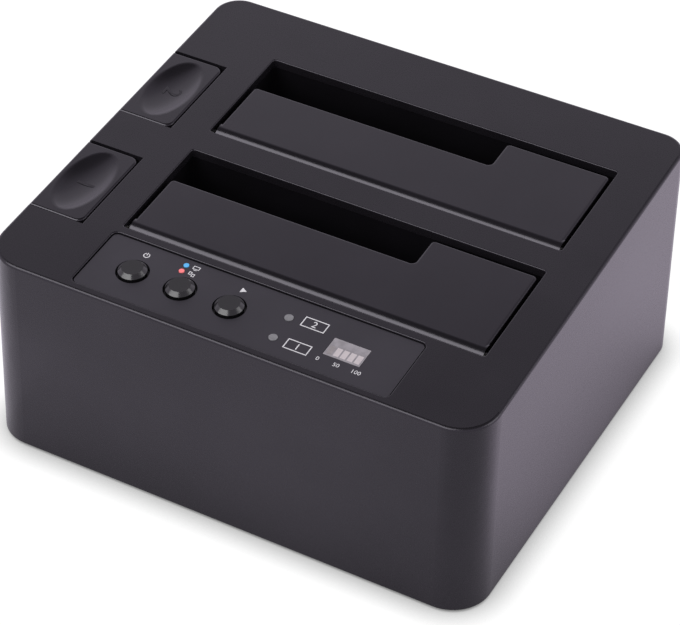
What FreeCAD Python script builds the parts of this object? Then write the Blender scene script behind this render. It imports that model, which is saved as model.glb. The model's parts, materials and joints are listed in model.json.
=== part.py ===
"""Two-bay drive duplicator, free-standing, for 3.5 inch and 2.5 inch drives.

Frame: origin under the middle of the case, on the surface it stands on.
+X is the right-hand side, +Y the rear (sockets), +Z up; the user sits at -Y.
The top ("deck") rises towards the rear. Pieces of the deck are drawn in the
deck's own frame, whose origin is on the deck above the origin of the part.
"""
import FreeCAD, Part
import math
import os
import re
import Sketcher
from FreeCAD import Placement, Rotation, Vector

# Driving sizes, in millimetres and degrees.
SIZES = {
    # case
    "width": 146.4, "depth": 129.4, "draft": 0.7, "deck_mid": 66.0, "deck_slope": 3.58,
    "front_corner": 11.0, "rear_corner": 7.5, "wall": 2.5, "rim_round": 0.9,
    "fit_gap": 0.3, "opening_round": 0.35,
    # bottom plate and what stands on it
    "plate_thick": 2.0, "plate_gap": 0.3, "lip_high": 3.0, "lip_thick": 1.5,
    "foot_high": 1.0, "foot_radius": 6.0, "foot_seat": 0.6, "foot_edge": 14.0, "foot_row": 27.0, "foot_chamfer": 0.4,
    "vent_long": 34.0, "vent_wide": 2.4, "vent_pitch": 6.0, "vent_count": 9,
    "standoff_high": 3.8, "standoff_radius": 3.4,
    "board_thick": 1.6, "board_half": 55.0, "board_front_gap": 8.7, "board_rear_gap": 4.2,
    # screws
    "screw_radius": 1.3, "screw_clearance": 0.05, "screw_head_radius": 2.5, "screw_head_high": 1.6, "screw_drive": 1.1, "screw_seat": 2.0,
    "screw_bite": 9.0,
    "post_radius": 3.6, "post_edge": 12.2, "post_front_edge": 14.2, "post_rear_edge": 11.7, "post_base": 5.0,
    # drive slots
    "slot_middle": 7.35, "slot_long": 105.5, "slot_deep": 35.6, "slot_front": 7.3,
    "slot_pitch": 44.5, "slot_corner": 0.8,
    # flaps
    "flap_side_gap": 1.1, "flap_rear_gap": 2.1, "flap_front_gap": 0.4, "flap_drop": 0.4,
    "flap_thick": 2.5, "barrel_radius": 3.3, "notch_long": 73.9, "notch_deep": 10.4,
    "notch_corner": 1.3, "flap_round": 0.8, "flap_rib_high": 2.2, "flap_rib_thick": 1.6,
    "pin_radius": 1.0, "pin_chamfer": 0.25, "run_gap": 0.05,
    "spring_gap_start": 9.0, "spring_gap_long": 10.0, "spring_wire": 0.35,
    "spring_coil": 1.7, "spring_pitch": 1.2, "spring_turns": 7, "spring_leg": 8.0, "spring_wall_leg": 6.0,
    # bay frame
    "bay_wall": 2.0, "bay_floor": 14.0, "bay_floor_thick": 2.0, "well_slack": 0.3,
    "rib_thick": 2.0, "rib_deep": 8.4, "rib_high": 13.0, "rib_first": 16.0, "rib_pitch": 28.0,
    "rib_count": 4, "ear_side": 36.0, "ear_reach": 8.0, "ear_wide": 9.0,
    # drive connectors
    "socket_middle": -18.0, "socket_long": 38.0, "socket_wide": 7.0, "socket_high": 8.9,
    "socket_back": 1.3, "socket_slot_long": 33.4, "socket_slot_wide": 2.4, "socket_key": 1.4, "socket_slot_deep": 6.0,
    # eject buttons and levers
    "button_long": 29.4, "button_slot_gap": 10.5, "button_gap": 0.45, "front_button_middle": -26.2,
    "rear_button_middle": 18.4, "button_thick": 2.2, "button_drop": 0.15, "button_corner": 2.6, "button_inset": 0.8, "button_round": 0.7,
   
    "skirt_high": 9.0, "dish_long": 25.0, "dish_edge": 1.85, "dish_deep": 1.2, "dish_round": 3.0,
    "plunger_radius": 2.5, "plunger_tip": 1.9, "plunger_gap": 0.3, "eject_travel": 5.0, "lever_gap": 0.3,
    "collar_radius": 3.7, "clip_depth": 0.6, "clip_gap": 0.25, "collar_thick": 1.4, "shelf_height": 40.0, "shelf_thick": 2.5,
    "shelf_half": 9.0, "shelf_reach": 21.0, "gusset_high": 14.7, "gusset_reach": 18.9,
    "lift_arm": 12.15, "pivot_gap": 6.3, "lever_thick": 3.0, "lever_wide": 5.0, "lever_hub": 3.3,
    "lever_pin_radius": 1.5, "lift_bar": 22.0, "lever_side_gap": 0.4, "lever_ear": 2.0,
    "coil_wire": 0.4, "coil_radius": 4.2, "coil_turns": 6,
    # control panel
    "panel_left": 46.0, "panel_right": 45.3, "panel_rear": 40.1, "panel_front": 61.2,
    "panel_thick": 1.2, "panel_drop": 0.5, "panel_gap": 0.3, "panel_corner": 1.4, "panel_ledge": 1.0,
    "key_hole": 4.5, "key_radius": 3.85, "key_proud": 1.5, "key_chamfer": 1.0,
    "key_flange": 5.2, "key_flange_thick": 0.8, "key_flange_gap": 0.25, "key_travel": 0.5,
    "key_stem": 1.4, "key_row": 50.8, "key_first": 34.1, "key_second": 19.9, "key_third": 5.3,
    "switch_side": 6.2, "switch_high": 3.5, "switch_knob": 1.75, "switch_knob_high": 0.5,
    "switch_slack": 0.1, "key_stem_long": 1.6,
    "mode_dot": 0.75, "mode_dot_x": 23.0, "blue_dot_y": 42.4, "red_dot_y": 44.8, "lens_gap": 0.1,
    "drive_dot": 1.2, "drive_dot_x": 10.05, "drive_dot_rear": 47.3, "drive_dot_front": 55.4,
    "lens_flange": 0.45, "lens_flange_thick": 0.6, "lens_proud": 0.15,
    "window_left": 23.7, "window_right": 34.2, "window_rear": 48.1, "window_front": 54.8,
    "bar_count": 5, "bar_wide": 1.5, "bar_long": 3.0, "bar_pitch": 1.95, "bar_deep": 1.0, "bar_edge": 0.7,
    "led_high": 1.4, "led_side": 1.6,
    "panel_board_side": 3.0, "panel_board_gap": 4.7, "panel_board_rear": 41.2,
    "panel_post_x": 48.0, "panel_post_front": 57.0, "panel_post_rear": 45.0, "panel_post_radius": 2.8,
    # rear sockets
    "jack_side": 25.2, "jack_wide": 9.4, "jack_high": 11.0, "jack_deep": 14.0, "jack_bore": 3.1,
    "jack_pin": 1.05, "jack_bore_deep": 10.0,
    "usb_x": 22.0, "usb_wide": 12.0, "usb_high": 12.6, "usb_deep": 16.0, "usb_shell": 0.7, "usb_tongue": 2.8, "usb_step": 3.2,
    "usb_shoulder": 8.3, "usb_tongue_low": 3.1, "usb_tongue_high": 3.2,
    "sata_x": -2.0, "sata_wide": 15.0, "sata_high": 5.8, "sata_deep": 12.0, "sata_shell": 0.8, "sata_tongue": 5.0,
    "socket_fit": 0.35, "port_inset": 0.6,
    # cable and parts on the boards
    "header_wide": 16.0, "header_deep": 4.0, "header_high": 4.5, "cable_wide": 13.0,
    "cable_thick": 0.9, "cable_x": 22.0, "cable_y": 47.5,
    "chip_side": 12.0, "chip_high": 1.4, "capacitor_radius": 3.1, "capacitor_high": 7.5, "capacitor_round": 0.4,
    "capacitor_x": 16.5, "capacitor_pitch": 8.0, "capacitor_y": 54.0, "chip_x": 25.0, "chip_row": 24.0,
}

doc = FreeCAD.newDocument("drive_duplicator")
sheet = doc.addObject("Spreadsheet::Sheet", "dims")
for row, (alias, number) in enumerate(SIZES.items(), start=1):
    sheet.set("A%d" % row, alias)
    sheet.set("B%d" % row, str(number))
    sheet.setAlias("B%d" % row, alias)
doc.recompute()


def size(alias):
    """A driving size, read back from the sheet."""
    return float(sheet.get(alias))


def in_sheet(formula):
    """The formula with every size's name pointed at its cell."""
    return re.sub(r"[a-z_]\w*", lambda word: "dims." + word[0] if word[0] in SIZES else word[0], formula)


def bind(target, prop, formula):
    target.setExpression(prop, in_sheet(formula))


def value_of(formula):
    """What a formula comes to with the sheet's present sizes."""
    number = sheet.evalExpression(in_sheet(formula))
    return float(getattr(number, "Value", number))


# Places that several pieces share, as formulas of the driving sizes.
CASE_FOOT = "foot_high"
PLATE_TOP = "(foot_high + plate_thick)"
POST_SIDES = ("post_edge - width / 2", "width / 2 - post_edge")
POST_ROWS = ("post_front_edge - depth / 2", "depth / 2 - post_rear_edge")
JACK_X = "(width / 2 - jack_side)"
BOARD_FOOT = "(foot_high + plate_thick + standoff_high)"
BOARD_TOP = "(foot_high + plate_thick + standoff_high + board_thick)"
SLOT_LEFT = "(slot_middle - slot_long / 2)"
SLOT_RIGHT = "(slot_middle + slot_long / 2)"
WELL_LEFT = "(slot_middle - slot_long / 2 - well_slack)"
WELL_RIGHT = "(slot_middle + slot_long / 2 + well_slack)"
WELL_FLOOR_FOOT = "(bay_floor - bay_floor_thick)"
HINGE_Y = "(slot_front + flap_front_gap + barrel_radius)"
HINGE_Z = "(0 - flap_drop - barrel_radius)"
PANEL_TOP = "(0 - panel_drop)"
PANEL_FOOT = "(0 - panel_drop - panel_thick)"
BUTTON_INNER = "(%s - button_slot_gap)" % SLOT_LEFT
PLUNGER_X = "((%s + button_inset - width / 2) / 2)" % BUTTON_INNER
PIVOT_X = "(%s - pivot_gap)" % WELL_LEFT
LEVER_ARM = "(%s - %s)" % (PIVOT_X, PLUNGER_X)
PIVOT_Z = "(bay_floor - lever_gap + eject_travel / 2 - lever_thick / 2)"
PLUNGER_FOOT = "(%s + eject_travel / 2 + lever_thick / 2 + lever_gap)" % PIVOT_Z
CLIP_FOOT = "(shelf_height - clip_gap - collar_thick)"
KEY_FLANGE_TOP = "(0 - panel_drop - panel_thick - key_flange_gap)"
PANEL_BOARD_TOP = ("(0 - panel_drop - panel_thick - key_flange_gap - key_flange_thick - key_stem_long"
                   " - key_travel - switch_slack - switch_knob_high - switch_high)")


# ---------------------------------------------------------------- helpers

def new_body(label):
    body = doc.addObject("PartDesign::Body", label)
    body.Label = label
    return body


def on_deck(body):
    """Move a body that is drawn in the deck's frame to its place."""
    body.Placement = Placement(Vector(), Rotation(Vector(1, 0, 0), 1))
    bind(body, "Placement.Base.z", "deck_mid")
    bind(body, "Placement.Rotation.Angle", "deck_slope")


def sketch_on(body, role, lift="0", on_deck_plane=False):
    """An empty sketch on one of the body's origin planes, lifted along its normal."""
    sketch = body.newObject("Sketcher::SketchObject", body.Label + "_outline")
    plane = [item for item in body.Origin.OriginFeatures if item.Role == role][0]
    sketch.AttachmentSupport = [(plane, "")]
    sketch.MapMode = "FlatFace"
    if on_deck_plane:
        sketch.AttachmentOffset = Placement(Vector(), Rotation(Vector(1, 0, 0), 1))
        bind(sketch, "AttachmentOffset.Rotation.Angle", "deck_slope")
        bind(sketch, "AttachmentOffset.Base.y", "0 - (%s) * sin(deck_slope)" % lift)
        bind(sketch, "AttachmentOffset.Base.z", "deck_mid + (%s) * cos(deck_slope)" % lift)
    else:
        bind(sketch, "AttachmentOffset.Base.z", lift)
    return sketch


def place_point(sketch, geometry, position, spot):
    """Hold one point of the sketch at two formulas."""
    for kind, formula in zip(("DistanceX", "DistanceY"), spot):
        constraint = Sketcher.Constraint(kind, -1, 1, geometry, position, value_of(formula))
        bind(sketch, "Constraints[%d]" % sketch.addConstraint(constraint), formula)


def spot_of(spot):
    return Vector(value_of(spot[0]), value_of(spot[1]), 0)


def hold_radius(sketch, geometry, formula):
    constraint = Sketcher.Constraint("Radius", geometry, value_of(formula))
    bind(sketch, "Constraints[%d]" % sketch.addConstraint(constraint), formula)


def polygon(sketch, corners):
    """A straight-sided closed outline, every corner held by its own formulas."""
    count = len(corners)
    first = sketch.GeometryCount
    for k in range(count):
        ends = spot_of(corners[k]), spot_of(corners[(k + 1) % count])
        sketch.addGeometry(Part.LineSegment(*ends), False)
    for k in range(count):
        follower = first + (k + 1) % count
        sketch.addConstraint(Sketcher.Constraint("Coincident", first + k, 2, follower, 1))
    for k, corner in enumerate(corners):
        place_point(sketch, first + k, 1, corner)


def rectangle(sketch, left, right, low, high):
    polygon(sketch, [(left, low), (right, low), (right, high), (left, high)])


def rounded(sketch, left, right, low, high, radius):
    """A rectangle with round corners: four lines held at their ends, four arcs."""
    l_in, r_in = "%s + %s" % (left, radius), "%s - (%s)" % (right, radius)
    low_in, high_in = "%s + %s" % (low, radius), "%s - (%s)" % (high, radius)
    sides = [((l_in, low), (r_in, low)), ((right, low_in), (right, high_in)),
             ((r_in, high), (l_in, high)), ((left, high_in), (left, low_in))]
    centres = [(r_in, low_in), (r_in, high_in), (l_in, high_in), (l_in, low_in)]
    first = sketch.GeometryCount
    for start, end in sides:
        sketch.addGeometry(Part.LineSegment(spot_of(start), spot_of(end)), False)
    for k, centre in enumerate(centres):
        round_edge = Part.Circle(spot_of(centre), Vector(0, 0, 1), value_of(radius))
        start = -math.pi / 2 + k * math.pi / 2
        sketch.addGeometry(Part.ArcOfCircle(round_edge, start, start + math.pi / 2), False)
    for k, (start, end) in enumerate(sides):
        place_point(sketch, first + k, 1, start)
        place_point(sketch, first + k, 2, end)
    for k in range(4):
        arc, follower = first + 4 + k, first + (k + 1) % 4
        sketch.addConstraint(Sketcher.Constraint("Coincident", first + k, 2, arc, 1))
        sketch.addConstraint(Sketcher.Constraint("Coincident", arc, 2, follower, 1))
        hold_radius(sketch, arc, radius)


def circle(sketch, across, along, radius):
    ring = Part.Circle(spot_of((across, along)), Vector(0, 0, 1), value_of(radius))
    index = sketch.addGeometry(ring, False)
    place_point(sketch, index, 3, (across, along))
    hold_radius(sketch, index, radius)


def extrude(kind, body, sketch, length, backwards=False, taper=None, both_ways=False):
    feature = body.newObject("PartDesign::" + kind, body.Label + "_" + kind.lower())
    feature.Profile = sketch
    feature.Reversed = backwards
    feature.Midplane = both_ways
    if length is None:
        feature.Type = "ThroughAll"
    else:
        bind(feature, "Length", length)
    if taper is not None:
        bind(feature, "TaperAngle", taper)
    return feature


def pad(body, sketch, length, **options):
    return extrude("Pad", body, sketch, length, **options)


def pocket(body, sketch, length, **options):
    """Cut and make sure that something was cut."""
    doc.recompute()
    before = body.Shape.Volume
    feature = extrude("Pocket", body, sketch, length, **options)
    doc.recompute()
    if not body.Shape.Volume < before - 1e-6:
        raise RuntimeError("nothing was cut from " + body.Label)
    return feature


def edges_where(body, test):
    doc.recompute()
    edges = body.Tip.Shape.Edges
    return ["Edge%d" % (k + 1) for k, edge in enumerate(edges) if test(edge)]


def dress(kind, body, test, formula):
    """Fillet or chamfer the edges of the body that pass a test."""
    base = body.Tip
    names = edges_where(body, test)
    if not names:
        raise RuntimeError("no edges to dress on " + body.Label)
    feature = body.newObject("PartDesign::" + kind, body.Label + "_" + kind.lower())
    feature.Base = (base, names)
    bind(feature, "Radius" if kind == "Fillet" else "Size", formula)
    return feature


def direction(edge):
    return (edge.Vertexes[-1].Point - edge.Vertexes[0].Point).normalize()


def is_line_along(edge, axis):
    straight = len(edge.Vertexes) == 2 and edge.Curve.TypeId == "Part::GeomLine"
    return straight and abs(direction(edge).dot(axis)) > 0.98


def middle(edge):
    return edge.BoundBox.Center


def near(number, target):
    return abs(number - target) < 0.02


UP = Vector(0, 0, 1)
ACROSS = Vector(1, 0, 0)
ALONG = Vector(0, 1, 0)


def deck_height(along, below=0.0):
    """Height of the deck, or of a plane below it, at a distance behind the origin."""
    slope = math.radians(size("deck_slope"))
    return size("deck_mid") + along * math.tan(slope) - below / math.cos(slope)


# ---------------------------------------------------------------- case

def case_block(body, inset, foot):
    """Solid with the case's drafted sides, corners and sloping deck, all lying in by an inset."""
    outline = sketch_on(body, "XY_Plane", foot)
    rectangle(outline, "%s - width / 2" % inset, "width / 2 - %s" % inset,
              "%s - depth / 2" % inset, "depth / 2 - %s" % inset)
    pad(body, outline, "deck_mid + depth / 4", taper="0 - draft")
    for front, radius in ((True, "front_corner"), (False, "rear_corner")):
        dress("Fillet", body, lambda edge: edge.BoundBox.ZLength > size("deck_mid") / 2
              and len(edge.Vertexes) == 2 and edge.BoundBox.DiagonalLength < 2 * size("deck_mid")
              and (middle(edge).y < 0) == front, "%s - %s" % (radius, inset))
    above = sketch_on(body, "XY_Plane", "0 - %s" % inset, on_deck_plane=True)
    rectangle(above, "0 - width", "width", "0 - depth", "depth")
    pocket(body, above, "deck_mid + depth / 4", backwards=True)


def cut_body(body, tool):
    """Take one body away from another."""
    feature = body.newObject("PartDesign::Boolean", body.Label + "_hollow")
    feature.Type = "Cut"
    feature.setObjects([tool])
    doc.recompute()


def on_deck_rim(edge):
    return all(abs(vertex.Point.z - deck_height(vertex.Point.y)) < 0.05 for vertex in edge.Vertexes)


def corner_posts():
    """Middles of the four posts that hold the bottom plate."""
    return [(across, along) for across in POST_SIDES for along in POST_ROWS]


def panel_board_posts():
    """Middles of the four posts under the deck that hold the panel board."""
    return [(side + "panel_post_x", "0 - panel_post_" + row)
            for side in ("0 - ", "") for row in ("front", "rear")]


def skirt_foot(name):
    """Height of the lower edge of an eject button."""
    return "(deck_mid + %s_button_middle * tan(deck_slope) - skirt_high)" % name


def rear_ports():
    """Name, middle, width and height of each socket in the rear wall."""
    return [("dc_jack", JACK_X, "jack_wide", "jack_high"),
            ("usb_socket", "usb_x", "usb_wide", "usb_high"),
            ("esata_socket", "sata_x", "sata_wide", "sata_high")]


def on_opening_rim(edge):
    """Edges of the deck's openings: on the deck, and clear of its own outer rim."""
    inside = size("width") / 2 - 2 * size("rim_round")
    front = size("panel_front") + size("panel_gap") + 0.1
    return (on_deck_rim(edge) and all(abs(v.Point.x) < inside for v in edge.Vertexes)
            and all(-front < v.Point.y < size("depth") / 2 - 2 * size("rim_round") for v in edge.Vertexes))


def slot_rows():
    """Name and middle-forward shift of the two drive bays."""
    return [("rear", "0"), ("front", "slot_pitch")]


def make_cover():
    """One moulded cover: drafted sides, sloping deck, slots, panel recess, sockets' windows."""
    body = new_body("top_cover")
    case_block(body, "0", CASE_FOOT)
    dress("Fillet", body, on_deck_rim, "rim_round")
    hollow = new_body("cover_hollow")
    case_block(hollow, "wall", "0")
    cut_body(body, hollow)

    for row in POST_ROWS:
        posts = sketch_on(body, "XY_Plane", PLATE_TOP + " + post_base")
        for across in POST_SIDES:
            circle(posts, across, row, "post_radius")
        pad(body, posts, "deck_mid + (%s) * tan(deck_slope) - wall / 2 - %s - post_base" % (row, PLATE_TOP))
    pilots = sketch_on(body, "XY_Plane", PLATE_TOP + " + post_base")
    for across, along in corner_posts():
        circle(pilots, across, along, "screw_radius + screw_clearance")
    pocket(body, pilots, "post_base * 3", backwards=True)

    panel_posts = sketch_on(body, "XY_Plane", PANEL_BOARD_TOP, on_deck_plane=True)
    for across, along in panel_board_posts():
        circle(panel_posts, across, along, "panel_post_radius")
    pad(body, panel_posts, "0 - wall / 2 - " + PANEL_BOARD_TOP)
    panel_pilots = sketch_on(body, "XY_Plane", PANEL_BOARD_TOP, on_deck_plane=True)
    for across, along in panel_board_posts():
        circle(panel_pilots, across, along, "screw_radius + screw_clearance")
    pocket(body, panel_pilots, "post_base", backwards=True)

    slots = sketch_on(body, "XY_Plane", "deck_mid + depth / 4")
    for _, shift in slot_rows():
        rounded(slots, SLOT_LEFT, SLOT_RIGHT, "slot_front - " + shift,
                "slot_front + slot_deep - " + shift, "slot_corner")
    pocket(body, slots, "depth / 4 + deck_mid / 2")

    for name, _ in slot_rows():
        centre = name + "_button_middle"
        notch = sketch_on(body, "XY_Plane", skirt_foot(name) + " - eject_travel - 2 * button_gap")
        rectangle(notch, "0 - width", BUTTON_INNER + " + button_gap",
                  "%s - button_long / 2 - button_gap" % centre,
                  "%s + button_long / 2 + button_gap" % centre)
        pocket(body, notch, "deck_mid", backwards=True)

    recess = sketch_on(body, "XY_Plane", "0", on_deck_plane=True)
    rounded(recess, "0 - panel_left - panel_gap", "panel_right + panel_gap", "0 - panel_front - panel_gap",
            "0 - panel_rear + panel_gap", "(panel_corner + panel_gap)")
    pocket(body, recess, "panel_drop + panel_thick")
    window = sketch_on(body, "XY_Plane", "0", on_deck_plane=True)
    rounded(window, "panel_ledge - panel_left", "panel_right - panel_ledge", "panel_ledge - panel_front",
            "0 - panel_rear - panel_ledge", "panel_corner")
    pocket(body, window, "wall * 2")
    dress("Fillet", body, on_opening_rim, "opening_round")

    rear_windows = sketch_on(body, "XZ_Plane", "0 - depth / 2 - wall")
    for name, port_x, wide, high in rear_ports():
        rectangle(rear_windows, "%s - %s / 2 - socket_fit" % (port_x, wide),
                  "%s + %s / 2 + socket_fit" % (port_x, wide),
                  BOARD_TOP + " - socket_fit", "%s + %s + socket_fit" % (BOARD_TOP, high))
    pocket(body, rear_windows, "wall * 3", backwards=True)
    return body


def make_bottom_plate():
    """Floor with a locating lip, feet seats, vents, board standoffs and screw posts."""
    body = new_body("bottom_plate")
    outline = sketch_on(body, "XY_Plane", "foot_high")
    edge = "(wall + plate_gap)"
    rectangle(outline, edge + " - width / 2", "width / 2 - " + edge, edge + " - depth / 2", "depth / 2 - " + edge)
    pad(body, outline, "plate_thick + lip_high")
    for front, radius in ((True, "front_corner"), (False, "rear_corner")):
        dress("Fillet", body, lambda edge: is_line_along(edge, UP) and (middle(edge).y < 0) == front,
              radius + " - wall")
    tray = sketch_on(body, "XY_Plane", PLATE_TOP)
    inner = "(wall + plate_gap + lip_thick)"
    rounded(tray, inner + " - width / 2", "width / 2 - " + inner, inner + " - depth / 2",
            "depth / 2 - " + inner, "(rear_corner - wall)")
    pocket(body, tray, "lip_high", backwards=True)
    posts = sketch_on(body, "XY_Plane", PLATE_TOP)
    for across, along in corner_posts():
        circle(posts, across, along, "post_radius")
    pad(body, posts, "post_base - fit_gap")
    standoffs = sketch_on(body, "XY_Plane", PLATE_TOP)
    for across, along in board_posts():
        circle(standoffs, across, along, "standoff_radius")
    pad(body, standoffs, "standoff_high")
    holes = sketch_on(body, "XY_Plane", BOARD_FOOT)
    for across, along in board_posts():
        circle(holes, across, along, "screw_radius + screw_clearance")
    pocket(body, holes, "standoff_high + plate_thick / 2")
    heads = sketch_on(body, "XY_Plane", "foot_high")
    for across, along in corner_posts():
        circle(heads, across, along, "screw_head_radius + fit_gap")
    pocket(body, heads, "post_base + plate_thick - fit_gap - screw_seat", backwards=True)
    shafts = sketch_on(body, "XY_Plane", "foot_high")
    for across, along in corner_posts():
        circle(shafts, across, along, "screw_radius + screw_clearance")
    pocket(body, shafts, "post_base + plate_thick", backwards=True)
    seats = sketch_on(body, "XY_Plane", "foot_high")
    for across, along in foot_spots():
        circle(seats, across, along, "foot_radius + screw_clearance")
    pocket(body, seats, "foot_seat", backwards=True)
    vents = sketch_on(body, "XY_Plane", "foot_high")
    for k in range(int(size("vent_count"))):
        middle_y = "(%d * vent_pitch - (vent_count - 1) * vent_pitch / 2)" % k
        rounded(vents, "0 - vent_long / 2", "vent_long / 2", middle_y + " - vent_wide / 2",
                middle_y + " + vent_wide / 2", "vent_wide / 2.2")
    pocket(body, vents, "plate_thick", backwards=True)
    return body


def foot_spots():
    return [(x_side, y_side) for x_side in ("foot_edge - width / 2", "width / 2 - foot_edge")
            for y_side in ("foot_row - depth / 2", "depth / 2 - foot_row")]


def board_posts():
    """Middles of the standoffs that carry the main board and the bay frame's ears."""
    rows = ("(slot_front - slot_pitch - well_slack - bay_wall - ear_reach / 2)",
            "(slot_front + slot_deep + well_slack + bay_wall + ear_reach / 2)")
    return [(side + "ear_side", row) for side in ("0 - ", "") for row in rows]


def make_feet():
    body = new_body("rubber_feet")
    discs = sketch_on(body, "XY_Plane", "0")
    for across, along in foot_spots():
        circle(discs, across, along, "foot_radius")
    pad(body, discs, "foot_high + foot_seat")
    dress("Chamfer", body, lambda edge: near(middle(edge).z, 0), "foot_chamfer")
    return body


def make_screws(label, spots, head_height, head_down, length, deck_frame=False):
    """A set of equal screws: round heads with a cross-shaped drive, plain shanks."""
    body = new_body(label)
    heads = sketch_on(body, "XY_Plane", head_height)
    shanks = sketch_on(body, "XY_Plane", head_height)
    drives = sketch_on(body, "XY_Plane", head_height + (" - " if head_down else " + ") + "screw_head_high")
    for across, along in spots:
        circle(heads, across, along, "screw_head_radius")
        circle(shanks, across, along, "screw_radius")
        circle(drives, across, along, "screw_drive")
    pad(body, heads, "screw_head_high", backwards=head_down)
    pad(body, shanks, length, backwards=not head_down)
    pocket(body, drives, "screw_head_high / 2", backwards=head_down)
    if deck_frame:
        on_deck(body)
    return body


def make_main_board():
    body = new_body("main_board")
    outline = sketch_on(body, "XY_Plane", BOARD_FOOT)
    rectangle(outline, "0 - board_half", "board_half", "board_front_gap - depth / 2", "depth / 2 - board_rear_gap")
    for across, along in board_posts():
        circle(outline, across, along, "screw_radius + screw_clearance")
    pad(body, outline, "board_thick")
    return body


# ---------------------------------------------------------------- drive bays

def make_bay_frame():
    """Moulding with two open wells, their guide ribs, lever ears, eject shelves and fixing ears."""
    body = new_body("bay_frame")
    back = "(slot_front + slot_deep + well_slack)"
    front = "(slot_front - slot_pitch - well_slack)"
    block = sketch_on(body, "XY_Plane", WELL_FLOOR_FOOT)
    rectangle(block, WELL_LEFT + " - bay_wall", WELL_RIGHT + " + bay_wall", front + " - bay_wall",
              back + " + bay_wall")
    pad(body, block, "deck_mid + depth / 4 - " + WELL_FLOOR_FOOT)
    roof = sketch_on(body, "XY_Plane", "0 - wall - fit_gap", on_deck_plane=True)
    rectangle(roof, "0 - width", "width", "0 - depth", "depth")
    pocket(body, roof, "deck_mid + depth / 4", backwards=True)
    wells = sketch_on(body, "XY_Plane", "deck_mid + depth / 4")
    for _, shift in slot_rows():
        rounded(wells, WELL_LEFT, WELL_RIGHT, "slot_front - well_slack - " + shift,
                back + " - " + shift, "slot_corner")
    pocket(body, wells, "deck_mid + depth / 4 - bay_floor")
    divider = sketch_on(body, "XY_Plane", WELL_FLOOR_FOOT)
    rectangle(divider, WELL_LEFT, WELL_RIGHT, back + " - slot_pitch + bay_wall",
              "slot_front - well_slack - bay_wall")
    pocket(body, divider, "deck_mid", backwards=True)

    ribs = sketch_on(body, "XY_Plane", "bay_floor")
    for _, shift in slot_rows():
        for k in range(int(size("rib_count"))):
            left = "(%s + rib_first + %d * rib_pitch)" % (WELL_LEFT, k)
            rectangle(ribs, left, left + " + rib_thick", "slot_front - well_slack - bay_wall / 2 - " + shift,
                      "slot_front - well_slack + rib_deep - " + shift)
    pad(body, ribs, "rib_high")

    floor_cuts = sketch_on(body, "XY_Plane", WELL_FLOOR_FOOT)
    for name, shift in slot_rows():
        lever_y = name + "_button_middle"
        rectangle(floor_cuts, "socket_middle - socket_long / 2 - fit_gap",
                  "socket_middle + socket_long / 2 + fit_gap",
                  "%s - socket_back - socket_wide - fit_gap - %s" % (back, shift),
                  "%s - socket_back + fit_gap - %s" % (back, shift))
        rectangle(floor_cuts, WELL_LEFT + " - bay_wall * 2", PIVOT_X + " + lift_arm + lever_thick",
                  "%s - lever_wide / 2 - lever_side_gap" % lever_y,
                  "%s - lever_wide / 2 + lift_bar + lever_side_gap" % lever_y)
    pocket(body, floor_cuts, "bay_floor_thick", backwards=True)
    lever_windows = sketch_on(body, "YZ_Plane", "0 - width / 2")
    for name, _ in slot_rows():
        lever_y = name + "_button_middle"
        rectangle(lever_windows, "%s - lever_wide / 2 - lever_side_gap" % lever_y,
                  "%s + lever_wide / 2 + lever_side_gap" % lever_y, WELL_FLOOR_FOOT + " - bay_wall",
                  PIVOT_Z + " + lever_thick + lever_gap * 2")
    pocket(body, lever_windows, WELL_LEFT + " + width / 2", backwards=True)

    for name, _ in slot_rows():
        lever_y = name + "_button_middle"
        for near_side, far_side in (("lever_wide / 2 + lever_side_gap", "lever_wide / 2 + lever_side_gap + lever_ear"),
                                    ("0 - lever_wide / 2 - lever_side_gap - lever_ear",
                                     "0 - lever_wide / 2 - lever_side_gap")):
            ear = sketch_on(body, "XY_Plane", PIVOT_Z + " - lever_hub")
            rectangle(ear, PIVOT_X + " - lever_hub", WELL_LEFT + " - bay_wall / 2",
                      lever_y + " + " + near_side, lever_y + " + " + far_side)
            pad(body, ear, "lever_hub * 2")
    pivots = sketch_on(body, "XZ_Plane", "0 - depth / 2")
    circle(pivots, PIVOT_X, PIVOT_Z, "lever_pin_radius + screw_clearance")
    pocket(body, pivots, "depth", backwards=True)

    shelves = sketch_on(body, "XY_Plane", "shelf_height")
    for name, _ in slot_rows():
        centre = name + "_button_middle"
        rectangle(shelves, WELL_LEFT + " - bay_wall / 2 - shelf_reach", WELL_LEFT + " - bay_wall / 2",
                  centre + " - shelf_half", centre + " + shelf_half")
    pad(body, shelves, "shelf_thick")
    for name, _ in slot_rows():
        for side in ("0 - shelf_half", "shelf_half - bay_wall"):
            gusset = sketch_on(body, "XZ_Plane", "0 - %s_button_middle - bay_wall - (%s)" % (name, side))
            polygon(gusset, [(WELL_LEFT + " - bay_wall / 2", "shelf_height"),
                             (WELL_LEFT + " - bay_wall / 2", "shelf_height - gusset_high"),
                             (WELL_LEFT + " - bay_wall / 2 - gusset_reach", "shelf_height")])
            pad(body, gusset, "bay_wall")
    guides = sketch_on(body, "XY_Plane", "shelf_height")
    for name, _ in slot_rows():
        circle(guides, PLUNGER_X, name + "_button_middle", "plunger_radius + plunger_gap")
    pocket(body, guides, "shelf_thick", backwards=True)

    for _, shift in slot_rows():
        bores = sketch_on(body, "YZ_Plane", "0 - width / 2")
        circle(bores, hinge_y(shift), hinge_z(shift), "pin_radius + run_gap")
        pocket(body, bores, "width", backwards=True)
        seats = sketch_on(body, "YZ_Plane", "0 - width / 2")
        rectangle(seats, hinge_y(shift) + " - pin_radius - run_gap", hinge_y(shift) + " + pin_radius + run_gap",
                  hinge_z(shift), "deck_mid + depth / 4")
        pocket(body, seats, "width", backwards=True)

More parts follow.
